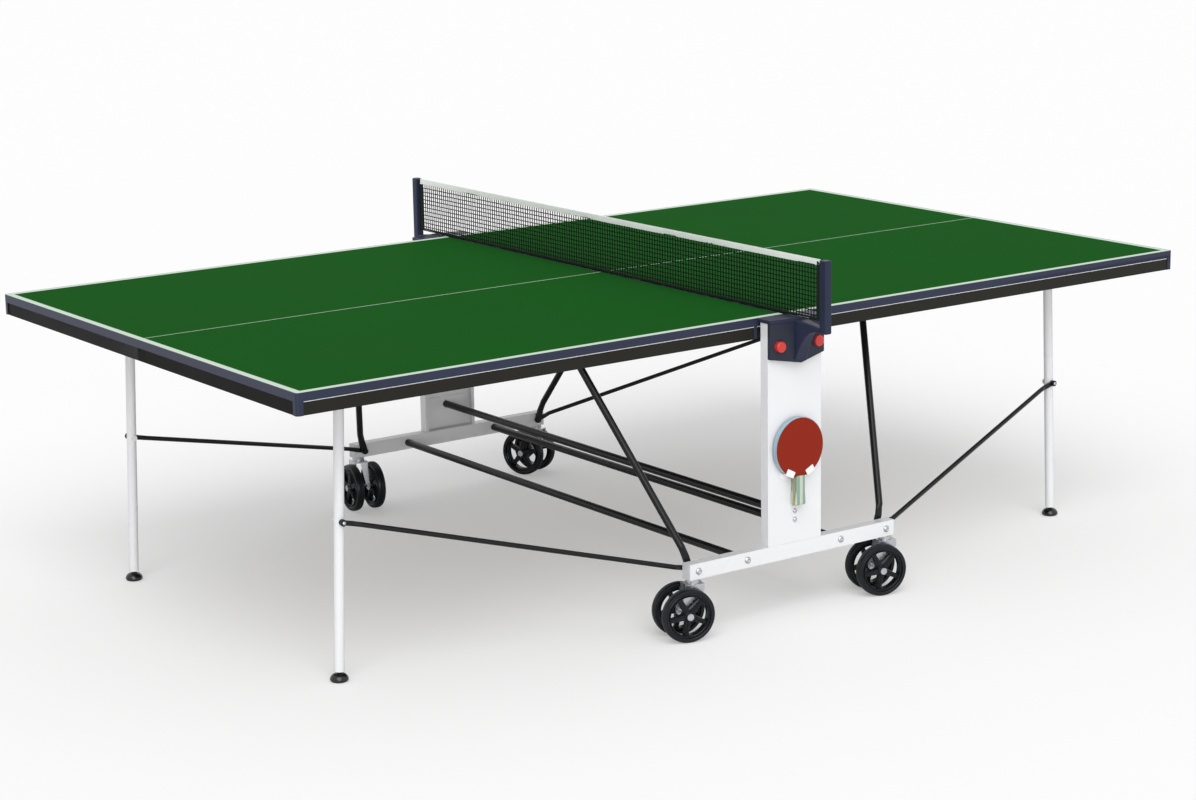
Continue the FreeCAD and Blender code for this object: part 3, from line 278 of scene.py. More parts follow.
@dataclass(frozen=True)
class Layered(Finish):
    """Wood built up in layers across one axis, such as a ply blade's edge or a grip's laid strips."""

    layer_mm: float = 1.3
    axis: str = "Y"
    second: str = "8E8260"

    def tint(self, tree: bpy.types.NodeTree, place: bpy.types.NodeSocket,
             shade: bpy.types.NodeSocket) -> bpy.types.NodeSocket:
        """Light and dark layers in turn, each with the mottle of its wood.

        Args:
            tree: The material's node tree.
            place: Object coordinates.
            shade: Mottle value from 0 to 1.

        Returns:
            The colour socket.
        """
        wood = super().tint(tree, place, shade)
        axes = add_node(tree, "ShaderNodeSeparateXYZ", {"Vector": place})
        turn = math_of(tree, "PINGPONG", axes.outputs[self.axis], self.layer_mm * MM)
        dark = math_of(tree, "GREATER_THAN", turn, self.layer_mm * MM / 2.0)
        return mix_colours(tree, dark, wood, linear(self.second))


# Acrylic table lacquer: dead matt with a fine roller stipple, and hardly any sheen.
LACQUER = PlayingLacquer("matt_acrylic_table_lacquer", "1C581F", 0.56, grain_mm=1.6, grain_depth_mm=0.05,
                         mottle=0.10, mottle_mm=420.0, shader_values=(("Specular IOR Level", 0.001),))
# Extruded ABS edge band: satin navy with streaks along its length.
EDGE_BAND = Finish("extruded_abs_edge_band", "2A2F42", 0.36, grain_mm=2.5, grain_depth_mm=0.03,
                   mottle=0.16, mottle_mm=45.0, stretch=(0.15, 0.15, 1.0),
                   shader_values=(("Specular IOR Level", 0.2),))
# Powder-coated steel: a skin with a slight orange peel. The frame's is a satin warm off-black, the
# columns', rails' and legs' a gloss white, and the struts', braces' and cross tubes' black.
FRAME_PAINT = Finish("satin_powder_coat_off_black", "1C1B16", 0.38, grain_mm=2.2, grain_depth_mm=0.05,
                     mottle=0.12, mottle_mm=160.0, shader_values=(("Specular IOR Level", 0.18),))
WHITE_PAINT = Finish("gloss_powder_coat_white", "DEDFE1", 0.30, grain_mm=2.6, grain_depth_mm=0.04,
                     mottle=0.02, mottle_mm=220.0)
PLATE_PAINT = Finish("satin_powder_coat_pale_grey", "E0E2E4", 0.40, grain_mm=2.6, grain_depth_mm=0.04,
                     mottle=0.03, mottle_mm=120.0)
BLACK_PAINT = Finish("satin_powder_coat_black", "131416", 0.30, grain_mm=2.0, grain_depth_mm=0.04,
                     mottle=0.15, mottle_mm=70.0, shader_values=(("Specular IOR Level", 0.25),))
PINSTRIPE = Finish("screened_white_ink", "E4E6E8", 0.45, grain_mm=0.8, grain_depth_mm=0.01, mottle=0.03)
# Bright zinc plate: a metal whose shade and gloss change in small soft spangles.
ZINC = Finish("bright_zinc_plate", "C3C5CA", 0.28, 1.0, grain_mm=3.0, grain_depth_mm=0.03, mottle=0.10,
              mottle_mm=7.0, gloss_spread=0.18)
SPRING_STEEL = Finish("drawn_spring_steel", "8C8E92", 0.32, 1.0, grain_mm=0.6, grain_depth_mm=0.02,
                      mottle=0.08)
# Injection-moulded plastics: a spark-eroded stipple on the navy ABS, polish on the red, the foot and
# the wheel.
NAVY = Finish("stippled_abs_navy", "252A3F", 0.40, grain_mm=0.9, grain_depth_mm=0.05, mottle=0.08,
              mottle_mm=35.0, shader_values=(("Specular IOR Level", 0.2),))
SLATE = Finish("stippled_abs_slate", "272B37", 0.44, grain_mm=0.9, grain_depth_mm=0.05, mottle=0.08,
               mottle_mm=35.0, shader_values=(("Specular IOR Level", 0.2),))
RED = Finish("polished_abs_red", "C3322A", 0.26, grain_mm=1.2, grain_depth_mm=0.02, mottle=0.06,
             mottle_mm=14.0)
FOOT = Finish("polished_polypropylene_black", "101113", 0.22, grain_mm=1.5, grain_depth_mm=0.03,
              mottle=0.2)
NYLON = Finish("cast_nylon_natural", "E2E0D6", 0.45, grain_mm=1.0, grain_depth_mm=0.03, mottle=0.04)
CAP_PLASTIC = Finish("moulded_polyethylene_grey", "C9CBCE", 0.42, grain_mm=1.0, grain_depth_mm=0.03,
                     mottle=0.03)
CLIP_PLASTIC = Finish("moulded_polypropylene_white", "E6E7E6", 0.38, grain_mm=1.0, grain_depth_mm=0.03,
                      mottle=0.03)
WHEEL_PLASTIC = Finish("glass_filled_nylon_black", "0E1318", 0.24, grain_mm=1.1, grain_depth_mm=0.03,
                       mottle=0.22, mottle_mm=30.0, shader_values=(("Specular IOR Level", 0.3),))
TREAD = Finish("thermoplastic_rubber_tread", "101418", 0.38, grain_mm=1.4, grain_depth_mm=0.08,
               mottle=0.18, mottle_mm=24.0, shader_values=(("Specular IOR Level", 0.25),))
# Net: twisted polyester cord, a woven cotton head tape and dark woven side tapes.
NET_CORD = Finish("twisted_polyester_cord", "08110B", 0.78, grain_mm=0.9, grain_depth_mm=0.12,
                  mottle=0.25, mottle_mm=12.0, shader_values=(("Specular IOR Level", 0.1),))
HEAD_TAPE = Woven("woven_cotton_tape_white", "DEE3DF", 0.80, grain_depth_mm=0.12, mottle=0.04,
                  mottle_mm=25.0, shader_values=(("Sheen Weight", 0.2),))
SIDE_TAPE = Woven("woven_polyester_tape_dark", "101A12", 0.75, grain_depth_mm=0.12, mottle=0.12,
                  mottle_mm=15.0, shader_values=(("Specular IOR Level", 0.2),))
THREAD = Finish("cotton_sewing_thread", "DADFDB", 0.8, grain_mm=0.5, grain_depth_mm=0.05)
# Bat: calendered rubber sheet, limba ply, a printed-film edge tape left plain, and a lacquered grip.
BAT_RUBBER = Finish("calendered_red_rubber", "84200C", 0.55, grain_mm=1.0, grain_depth_mm=0.03,
                    mottle=0.07, mottle_mm=20.0, shader_values=(("Specular IOR Level", 0.15),))
BAT_PLY = Layered("limba_plywood", "AFA27F", 0.5, grain_mm=1.2, grain_depth_mm=0.05, mottle=0.12,
                  mottle_mm=9.0)
BAT_TAPE = Finish("polyester_edge_film", "8FB3C4", 0.35, grain_mm=1.5, grain_depth_mm=0.02, mottle=0.10,
                  mottle_mm=18.0)
BAT_GRIP = Layered("lacquered_laid_grip", "B9C3B2", 0.34, grain_mm=1.4, grain_depth_mm=0.05, mottle=0.10,
                   mottle_mm=11.0, stretch=(1.0, 1.0, 0.12), layer_mm=9.0, axis="X", second="7F9A8C")


# --- mesh helpers ---
def piece_from(name: str, mesh: bmesh.types.BMesh, finishes: Iterable[Finish],
               weighted: bool = True) -> bpy.types.Object:
    """Turns a bmesh into a finished, smooth-shaded object at the origin.

    Args:
        name: The piece's name.
        mesh: Geometry in the frame's axes; it is freed.
        finishes: One finish for each material index.
        weighted: Whether large flat faces keep their own normals beside a rounded edge.

    Returns:
        The new object.
    """
    data = bpy.data.meshes.new(name)
    mesh.to_mesh(data)
    mesh.free()
    for finish in finishes:
        data.materials.append(finish.material())
    data.shade_smooth()
    data.set_sharp_from_angle(angle=SHARP_ANGLE)
    made = bpy.data.objects.new(name, data)
    bpy.context.scene.collection.objects.link(made)
    if weighted:
        normals = made.modifiers.new("flat faces stay flat", "WEIGHTED_NORMAL")
        normals.keep_sharp = True
    return made


def hand_over(made: bpy.types.Object, body: str, nodes: Iterable[str] = ()) -> bpy.types.Object:
    """Sets a piece on its body and the nodes that it stands for.

    Args:
        made: The finished piece.
        body: The body that it moves with.
        nodes: The construction nodes that it replaces.

    Returns:
        The same piece.
    """
    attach(made, body)
    if nodes:
        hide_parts(*nodes)
    LOG.info("%s rides on %s", made.name, body)
    return made


def dress(node: str, finish: Finish) -> None:
    """Gives a construction node that stays its finish.

    Args:
        node: The node; its mesh stays as it is.
        finish: Its finish.
    """
    data = FRAME["nodes"][node].data
    data.materials.clear()
    data.materials.append(finish.material())
    LOG.info("%s keeps its shape, finish %s", node, finish.name)


def plain_copy(node: str) -> bmesh.types.BMesh:
    """A construction node's mesh with its doubles merged and its flat faces whole.

    Args:
        node: The node to copy.

    Returns:
        A new bmesh, which the caller frees.
    """
    source = FRAME["nodes"][node].data
    mesh = bmesh.new()
    corners = [mesh.verts.new(vertex.co) for vertex in source.vertices]
    for face in source.polygons:
        mesh.faces.new([corners[index] for index in face.vertices])
    bmesh.ops.remove_doubles(mesh, verts=mesh.verts, dist=MERGE)
    bmesh.ops.dissolve_limit(mesh, angle_limit=FLAT_ANGLE, verts=mesh.verts, edges=mesh.edges)
    return mesh


def separate_boxes(node: str) -> list[tuple[Vector, Vector]]:
    """Low and high corners of each separate solid in a construction node.

    Args:
        node: The node to look at.

    Returns:
        Two corners for each solid, in the order of the mesh.
    """
    mesh = plain_copy(node)
    found = []
    left = set(mesh.verts)
    while left:
        todo = [left.pop()]
        points = []
        while todo:
            vertex = todo.pop()
            points.append(vertex.co.copy())
            for edge in vertex.link_edges:
                other = edge.other_vert(vertex)
                if other in left:
                    left.remove(other)
                    todo.append(other)
        found.append((Vector([min(point[axis] for point in points) for axis in range(3)]),
                      Vector([max(point[axis] for point in points) for axis in range(3)])))
    mesh.free()
    return found


def softened(node: str, finish: Finish, width: float, shortest: float, segments: int = 2,
             name: str | None = None) -> bpy.types.Object:
    """A construction node again, with its long edges rounded as paint, folding or moulding leaves them.

    Args:
        node: The node to copy.
        finish: Its finish.
        width: How far the rounding reaches from the edge.
        shortest: Edges shorter than this stay as they are.
        segments: Steps in the rounding.
        name: The new piece's name, or none for the node's own with an ending.

    Returns:
        The new piece.
    """
    mesh = plain_copy(node)
    sharp = [edge for edge in mesh.edges if len(edge.link_faces) == 2 and edge.calc_length() >= shortest
             and edge.calc_face_angle(0.0) > SHARP_ANGLE]
    bmesh.ops.bevel(mesh, geom=sharp, offset=width, segments=segments, profile=0.5, affect="EDGES",
                    clamp_overlap=True)
    return piece_from(name or node + "_finished", mesh, [finish])


def lathe(mesh: bmesh.types.BMesh, profile: list[tuple[float, float]], place: Matrix, steps: int = 32,
          index: int = 0) -> None:
    """Turns a profile round an axis and adds it to a mesh as a closed shell.

    Args:
        mesh: The mesh that gets the shell.
        profile: Points of (radius, height), first and last at radius 0.
        place: Where the shell's own Z axis and origin go.
        steps: Faces round the axis.
        index: Material index.
    """
    rings = []
    for radius, height in profile:
        if radius < MERGE:
            rings.append([mesh.verts.new(place @ Vector((0.0, 0.0, height)))])
            continue
        angles = [math.tau * step / steps for step in range(steps)]
        rings.append([mesh.verts.new(place @ Vector((radius * math.cos(a), radius * math.sin(a), height)))
                      for a in angles])
    made = []
    for low, high in zip(rings, rings[1:]):
        for step in range(steps):
            following = (step + 1) % steps
            if len(low) == 1:
                made.append(mesh.faces.new((low[0], high[following], high[step])))
            elif len(high) == 1:
                made.append(mesh.faces.new((low[step], low[following], high[0])))
            else:
                made.append(mesh.faces.new((low[step], low[following], high[following], high[step])))
    for face in made:
        face.material_index = index
    bmesh.ops.recalc_face_normals(mesh, faces=made)


def ring_shell(mesh: bmesh.types.BMesh, profile: list[tuple[float, float]], place: Matrix, index: int,
               steps: int = 56) -> None:
    """Turns a closed outline round an axis and adds the ring to a mesh.

    Args:
        mesh: The mesh that gets the ring.
        profile: Points of (radius, height), none of them on the axis.
        place: Where the ring's own Z axis and origin go.
        index: Material index.
        steps: Faces round the axis.
    """
    rings = []
    for step in range(steps):
        angle = math.tau * step / steps
        rings.append([mesh.verts.new(place @ Vector((r * math.cos(angle), r * math.sin(angle), h)))
                      for r, h in profile])
    made = []
    count = len(profile)
    for step in range(steps):
        here, there = rings[step], rings[(step + 1) % steps]
        for i in range(count):
            following = (i + 1) % count
            made.append(mesh.faces.new((here[i], here[following], there[following], there[i])))
    for face in made:
        face.material_index = index
    bmesh.ops.recalc_face_normals(mesh, faces=made)


def loft(mesh: bmesh.types.BMesh, sections: list[list[Vector]], index: int = 0) -> None:
    """Joins closed sections of equal length into a shell with flat ends, and adds it to a mesh.

    Args:
        mesh: The mesh that gets the shell.
        sections: Closed outlines, one after the other.
        index: Material index.
    """
    rings = [[mesh.verts.new(point) for point in section] for section in sections]
    count = len(rings[0])
    made = [mesh.faces.new((low[i], low[(i + 1) % count], high[(i + 1) % count], high[i]))
            for low, high in zip(rings, rings[1:]) for i in range(count)]
    made += [mesh.faces.new(rings[0]), mesh.faces.new(rings[-1])]
    for face in made:
        face.material_index = index
    bmesh.ops.recalc_face_normals(mesh, faces=made)


def rounded_rectangle(width: float, height: float, radius: float,
                      steps: int = 3) -> list[tuple[float, float]]:
    """Outline of a rectangle about the origin with round corners, anticlockwise.

    Args:
        width: Whole width.
        height: Whole height.
        radius: Corner radius.
        steps: Steps in each corner.

    Returns:
        The points, from the right side upwards.
    """
    points = []
    for turn, (sx, sy) in enumerate(((1, 1), (-1, 1), (-1, -1), (1, -1))):
        for step in range(steps + 1):
            angle = math.pi / 2.0 * (turn + step / steps)
            points.append((sx * (width / 2.0 - radius) + radius * math.cos(angle),
                           sy * (height / 2.0 - radius) + radius * math.sin(angle)))
    return points


def pointing(place: Vector, axis: Vector) -> Matrix:
    """Matrix that takes the Z axis to a direction and the origin to a place."""
    return Matrix.Translation(place) @ axis.to_track_quat("Z", "Y").to_matrix().to_4x4()


def bolt_head(mesh: bmesh.types.BMesh, place: Vector, axis: Vector, radius: float, height: float) -> None:
    """A washer and a domed head with a socket.

    Args:
        mesh: The mesh that gets the bolt head.
        place: Where the axis meets the surface.
        axis: Outward direction.
        radius: Radius of the washer.
        height: Height of the head over the surface.
    """
    head = radius * 0.80
    socket = radius * 0.36
    profile = [(0.0, -0.2 * height), (radius, -0.2 * height), (radius, 0.22 * height),
               (radius * 0.94, 0.28 * height), (head, 0.28 * height), (head, 0.60 * height),
               (head * 0.90, 0.82 * height), (head * 0.68, 0.97 * height), (socket * 1.12, height),
               (socket, 0.94 * height), (socket * 0.92, 0.45 * height), (0.0, 0.40 * height)]
    lathe(mesh, profile, pointing(place, axis), steps=24)


# --- geometry node trees for what repeats ---
class Repeats:
    """Builds the three trees that repeat a shape, and turns their results into plain meshes."""

    def __init__(self) -> None:
        """Makes the trees."""
        self.net = self.net_tree()
        self.row = self.row_tree()
        self.ring = self.ring_tree()

    @staticmethod
    def new_tree(name: str, sizes: dict[str, str]) -> tuple[bpy.types.NodeTree, bpy.types.Node]:
        """A geometry tree with named inputs, and its input node.

        Args:
            name: The tree's name.
            sizes: Each input's name and socket type.

        Returns:
            The tree and its group input node.
        """
        tree = bpy.data.node_groups.new(name, "GeometryNodeTree")
        tree.is_modifier = True
        for label, kind in sizes.items():
            tree.interface.new_socket(label, in_out="INPUT", socket_type=kind)
        tree.interface.new_socket("Geometry", in_out="OUTPUT", socket_type="NodeSocketGeometry")
        return tree, add_node(tree, "NodeGroupInput")

    @staticmethod
    def finish_tree(tree: bpy.types.NodeTree, shape: bpy.types.NodeSocket,
                    material: bpy.types.NodeSocket) -> None:
        """Ends a tree: real geometry, smooth shading and its material.

        Args:
            tree: The tree to end.
            shape: Geometry, with or without instances.
            material: Material socket.
        """
        real = add_node(tree, "GeometryNodeRealizeInstances", {"Geometry": shape})
        smooth = add_node(tree, "GeometryNodeSetShadeSmooth", {"Geometry": real.outputs["Geometry"]})
        painted = add_node(tree, "GeometryNodeSetMaterial", {"Geometry": smooth.outputs["Geometry"],
                                                             "Material": material})
        add_node(tree, "NodeGroupOutput", {"Geometry": painted.outputs["Geometry"]})

    def net_tree(self) -> bpy.types.NodeTree:
        """Net of square cells in the YZ plane: a cord on each grid edge and a knot on each crossing.

        Returns:
            The tree, with the net's sizes as named inputs.
        """
        tree, given = self.new_tree("knotted net", {
            "Length": "NodeSocketFloat", "Height": "NodeSocketFloat", "Columns": "NodeSocketInt",
            "Rows": "NodeSocketInt", "Cord Radius": "NodeSocketFloat", "Knot Radius": "NodeSocketFloat",
            "Slack": "NodeSocketFloat", "Seed": "NodeSocketFloat", "Middle": "NodeSocketVector",
            "Material": "NodeSocketMaterial"})
        grid = add_node(tree, "GeometryNodeMeshGrid", {
            "Size X": given.outputs["Length"], "Size Y": given.outputs["Height"],
            "Vertices X": given.outputs["Columns"], "Vertices Y": given.outputs["Rows"]})
        upright = add_node(tree, "GeometryNodeTransform", {
            "Geometry": grid.outputs["Mesh"], "Translation": given.outputs["Middle"],
            "Rotation": (math.pi / 2.0, 0.0, math.pi / 2.0)})
        wander = add_node(tree, "ShaderNodeTexNoise",
                          {"W": given.outputs["Seed"], "Scale": 55.0, "Detail": 1.0}, noise_dimensions="4D")
        centred = add_node(tree, "ShaderNodeVectorMath", {0: wander.outputs["Color"], 1: (0.5, 0.5, 0.5)},
                           operation="SUBTRACT")
        shift = add_node(tree, "ShaderNodeVectorMath",
                         {0: centred.outputs["Vector"], "Scale": given.outputs["Slack"]}, operation="SCALE")
        slack = add_node(tree, "GeometryNodeSetPosition", {"Geometry": upright.outputs["Geometry"],
                                                           "Offset": shift.outputs["Vector"]})
        lines = add_node(tree, "GeometryNodeMeshToCurve", {"Mesh": slack.outputs["Geometry"]})
        section = add_node(tree, "GeometryNodeCurvePrimitiveCircle", {"Resolution": 5,
                                                                      "Radius": given.outputs["Cord Radius"]})
        cords = add_node(tree, "GeometryNodeCurveToMesh", {"Curve": lines.outputs["Curve"],
                                                           "Profile Curve": section.outputs["Curve"],
                                                           "Fill Caps": True})
        knot = add_node(tree, "GeometryNodeMeshIcoSphere", {"Radius": given.outputs["Knot Radius"],
                                                            "Subdivisions": 1})
        knots = add_node(tree, "GeometryNodeInstanceOnPoints", {"Points": slack.outputs["Geometry"],
                                                                "Instance": knot.outputs["Mesh"]})
        whole = add_node(tree, "GeometryNodeJoinGeometry")
        tree.links.new(knots.outputs["Instances"], whole.inputs["Geometry"])
        tree.links.new(cords.outputs["Mesh"], whole.inputs["Geometry"])
        self.finish_tree(tree, whole.outputs["Geometry"], given.outputs["Material"])
        return tree

    def row_tree(self) -> bpy.types.NodeTree:
        """A piece repeated along a straight line.

        Returns:
            The tree, with the piece, count, start and step as named inputs.
        """
        tree, given = self.new_tree("straight row", {
            "Piece": "NodeSocketObject", "Count": "NodeSocketInt", "Start": "NodeSocketVector",
            "Step": "NodeSocketVector", "Material": "NodeSocketMaterial"})
        piece = add_node(tree, "GeometryNodeObjectInfo", {"Object": given.outputs["Piece"]})
        line = add_node(tree, "GeometryNodeMeshLine", {"Count": given.outputs["Count"],
                                                       "Start Location": given.outputs["Start"],
                                                       "Offset": given.outputs["Step"]})
        copies = add_node(tree, "GeometryNodeInstanceOnPoints", {"Points": line.outputs["Mesh"],
                                                                 "Instance": piece.outputs["Geometry"]})
        self.finish_tree(tree, copies.outputs["Instances"], given.outputs["Material"])
        return tree

    def ring_tree(self) -> bpy.types.NodeTree:
        """A piece repeated round the Z axis.

        Returns:
            The tree, with the piece, count and first angle as named inputs.
        """
        tree, given = self.new_tree("round ring", {
            "Piece": "NodeSocketObject", "Count": "NodeSocketInt", "First Angle": "NodeSocketFloat",
            "Material": "NodeSocketMaterial"})
        piece = add_node(tree, "GeometryNodeObjectInfo", {"Object": given.outputs["Piece"]})
        line = add_node(tree, "GeometryNodeMeshLine", {"Count": given.outputs["Count"],
                                                       "Offset": (0.0, 0.0, 0.0)})
        index = add_node(tree, "GeometryNodeInputIndex")
        share = math_of(tree, "DIVIDE", index.outputs["Index"], given.outputs["Count"])
        angle = math_of(tree, "MULTIPLY_ADD", share, math.tau, given.outputs["First Angle"])
        turn = add_node(tree, "ShaderNodeCombineXYZ", {"Z": angle})
        copies = add_node(tree, "GeometryNodeInstanceOnPoints", {
            "Points": line.outputs["Mesh"], "Instance": piece.outputs["Geometry"],
            "Rotation": turn.outputs["Vector"]})
        self.finish_tree(tree, copies.outputs["Instances"], given.outputs["Material"])
        return tree

    @staticmethod
    def bake(name: str, tree: bpy.types.NodeTree, values: dict[str, Any],
             place: Matrix | None = None) -> bpy.types.Object:
        """Runs a tree once and keeps its result as a plain mesh.

        Args:
            name: The new piece's name.
            tree: The tree to run.
            values: Each input's value, by its name.
            place: Matrix for the result, or none to leave it.

        Returns:
            The new object, with no modifier.
        """
        holder = bpy.data.objects.new(name, bpy.data.meshes.new(name))
        bpy.context.scene.collection.objects.link(holder)
        modifier = holder.modifiers.new(tree.name, "NODES")
        modifier.node_group = tree
        sockets = {item.name: item.identifier for item in tree.interface.items_tree if item.in_out == "INPUT"}
        for label, value in values.items():
            modifier[sockets[label]] = value
        graph = bpy.context.evaluated_depsgraph_get()
        result = bpy.data.meshes.new_from_object(holder.evaluated_get(graph), depsgraph=graph)
        holder.modifiers.remove(modifier)
        if place is not None:
            result.transform(place)
        result.name = name
        holder.data = result
        return holder


def template(name: str, mesh: bmesh.types.BMesh) -> bpy.types.Object:
    """An object for a tree to repeat; it is not linked to the scene.

    Args:
        name: Its name.
        mesh: Its shape; it is freed.

    Returns:
        The unlinked object.
    """
    data = bpy.data.meshes.new(name)
    mesh.to_mesh(data)
    mesh.free()
    return bpy.data.objects.new(name, data)


def joined(name: str, parts: list[bpy.types.Object], finish: Finish) -> bpy.types.Object:
    """One plain piece from several plain meshes of one finish; the parts are removed.

    Args:
        name: The piece's name.
        parts: Objects whose meshes are joined.
        finish: Its finish.

    Returns:
        The new piece.
    """
    mesh = bmesh.new()
    for part in parts:
        mesh.from_mesh(part.data)
        bpy.data.objects.remove(part)
    for face in mesh.faces:
        face.material_index = 0
    return piece_from(name, mesh, [finish], weighted=False)


# --- sub-assemblies ---
@dataclass
class TableHalf:
    """One half of the table: panel, edge band, frame, pinstripe, brackets and guide blocks."""

    half: Half
    band_round: float = 0.7 * MM
    frame_round: float = 1.4 * MM
    plate_round: float = 0.4 * MM
    stripe_height: float = 2.0 * MM
    stripe_thickness: float = 0.35 * MM
    stripe_from_corner: float = 19.0 * MM
    stripe_from_net: float = 6.0 * MM
    cover_from_middle: float = 87.0 * MM
    cover_width: float = 9.0 * MM
    cover_height: float = 33.0 * MM
    cover_round: float = 2.0 * MM
    cover_sunk: float = 0.4 * MM
    cover_edge: float = 1.2 * MM
    cover_face: float = 1.8 * MM
    cover_face_share: float = 0.9
    band_height: float = 20.0 * MM

    def build(self) -> None:
        """Makes and hands over every piece of the half."""
        label = self.half.name.lower()
        body = "half_" + label
        dress("table_top_" + label, LACQUER)
        for kind, finish, slot, width, shortest in (
                ("edge_band_", EDGE_BAND, "edge_trim", self.band_round, 1.0 * MM),
                ("apron_frame_", FRAME_PAINT, "frame_paint", self.frame_round, 6.0 * MM),
                ("hinge_brackets_", WHITE_PAINT, "white_steel", self.plate_round, 2.5 * MM)):
            node = kind + label
            hand_over(softened(node, finish, width, shortest), body, [node])
        node = "guide_blocks_" + label
        hand_over(softened(node, NYLON, self.band_round, 3.0 * MM), "guides_" + label, [node])
        hand_over(self.pinstripe(label), body)
        hand_over(self.column_covers(label), body)

    def pinstripe(self, label: str) -> bpy.types.Object:
        """Thin white line under the edge band on both long sides.

        Args:
            label: left or right.

        Returns:
            The piece.
        """
        band_low, band_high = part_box("edge_band_" + label)
        _, frame_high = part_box("apron_frame_" + label)
        far_end = max(abs(band_low.x), abs(band_high.x)) - self.stripe_from_corner
        net_end = min(abs(band_low.x), abs(band_high.x)) + self.stripe_from_net
        band_bottom = band_high.z - self.band_height
        mesh = bmesh.new()
        for side in Side:
            wall = side.value * frame_high.y
            thick = side.value * self.stripe_thickness
            foot = band_bottom - self.stripe_height
            section = [(wall - thick, foot), (wall + thick, foot), (wall + thick, band_bottom),
                       (wall - thick, band_bottom)]
            loft(mesh, [[Vector((self.half.value * x, y, z)) for y, z in section]
                        for x in (net_end, far_end)])
        return piece_from("pinstripe_" + label, mesh, [PINSTRIPE])

    def column_covers(self, label: str) -> bpy.types.Object:
        """Navy cover plates on the frame, beside the two columns.

        Args:
            label: left or right.

        Returns:
            The piece, which holds both plates.
        """
        frame_low, frame_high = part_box("apron_frame_" + label)
        outline = rounded_rectangle(self.cover_width, self.cover_height, self.cover_round)
        middle_x = self.half.value * (self.cover_from_middle + self.cover_width / 2.0)
        middle_z = frame_low.z + self.cover_height / 2.0 + MM
        levels = ((-self.cover_sunk, 1.0), (self.cover_edge, 1.0), (self.cover_face, self.cover_face_share))
        mesh = bmesh.new()
        for side in Side:
            sections = []
            for out, share in levels:
                y = side.value * (frame_high.y + out)
                sections.append([Vector((middle_x + x * share, y, middle_z + z * share)) for x, z in outline])
            loft(mesh, sections)
        return piece_from("frame_covers_" + label, mesh, [EDGE_BAND])


@dataclass
class FoldingFrame:
    """Struts, legs, braces and levelling feet of one half."""

    half: Half
    cap: float = 8.1 * MM
    cap_depth: float = 5.4 * MM
    bolt: float = 4.2 * MM
    head_face: float = 553.2 * MM

    def build(self) -> None:
        """Paints the tubes and adds a bright bolt where each brace meets its leg."""
        label = self.half.name.lower()
        for node, finish in (("strut_frame_" + label, BLACK_PAINT), ("leg_frame_" + label, WHITE_PAINT)):
            dress(node, finish)
        for _, half, ending in places():
            if half is self.half:
                dress("brace_" + ending, BLACK_PAINT)
                dress("levelling_foot_" + ending, FOOT)
        hand_over(self.brace_bolts(label), "legs_" + label)

    def brace_bolts(self, label: str) -> bpy.types.Object:
        """Black cap washers over the upper eyes of the two braces, each with a small bright bolt.

        Args:
            label: left or right.

        Returns:
            The piece, which holds both bolts.
        """
        mesh = bmesh.new()
        for side, half, ending in places():
            if half is not self.half:
                continue
            joint = next(j for j in FRAME["joints"] if j["name"] == "brace_swing_" + ending)
            eye = side.value * self.head_face
            pivot_x, _, pivot_z = joint["pos_m"]
            place = pointing(Vector((pivot_x, eye, pivot_z)), Vector((0.0, side.value, 0.0)))
            cap = [(0.0, -self.cap_depth), (self.cap, -self.cap_depth), (self.cap, 0.2 * MM),
                   (self.cap * 0.9, 0.9 * MM), (self.bolt * 1.1, 1.1 * MM), (0.0, 1.1 * MM)]
            lathe(mesh, cap, place, steps=28, index=1)
            head = [(0.0, 0.9 * MM), (self.bolt, 0.9 * MM), (self.bolt, 2.2 * MM),
                    (self.bolt * 0.8, 3.0 * MM), (self.bolt * 0.4, 3.2 * MM), (self.bolt * 0.36, 2.4 * MM),
                    (0.0, 2.4 * MM)]
            lathe(mesh, head, place, steps=20)
        return piece_from("brace_bolts_" + label, mesh, [ZINC, BLACK_PAINT])


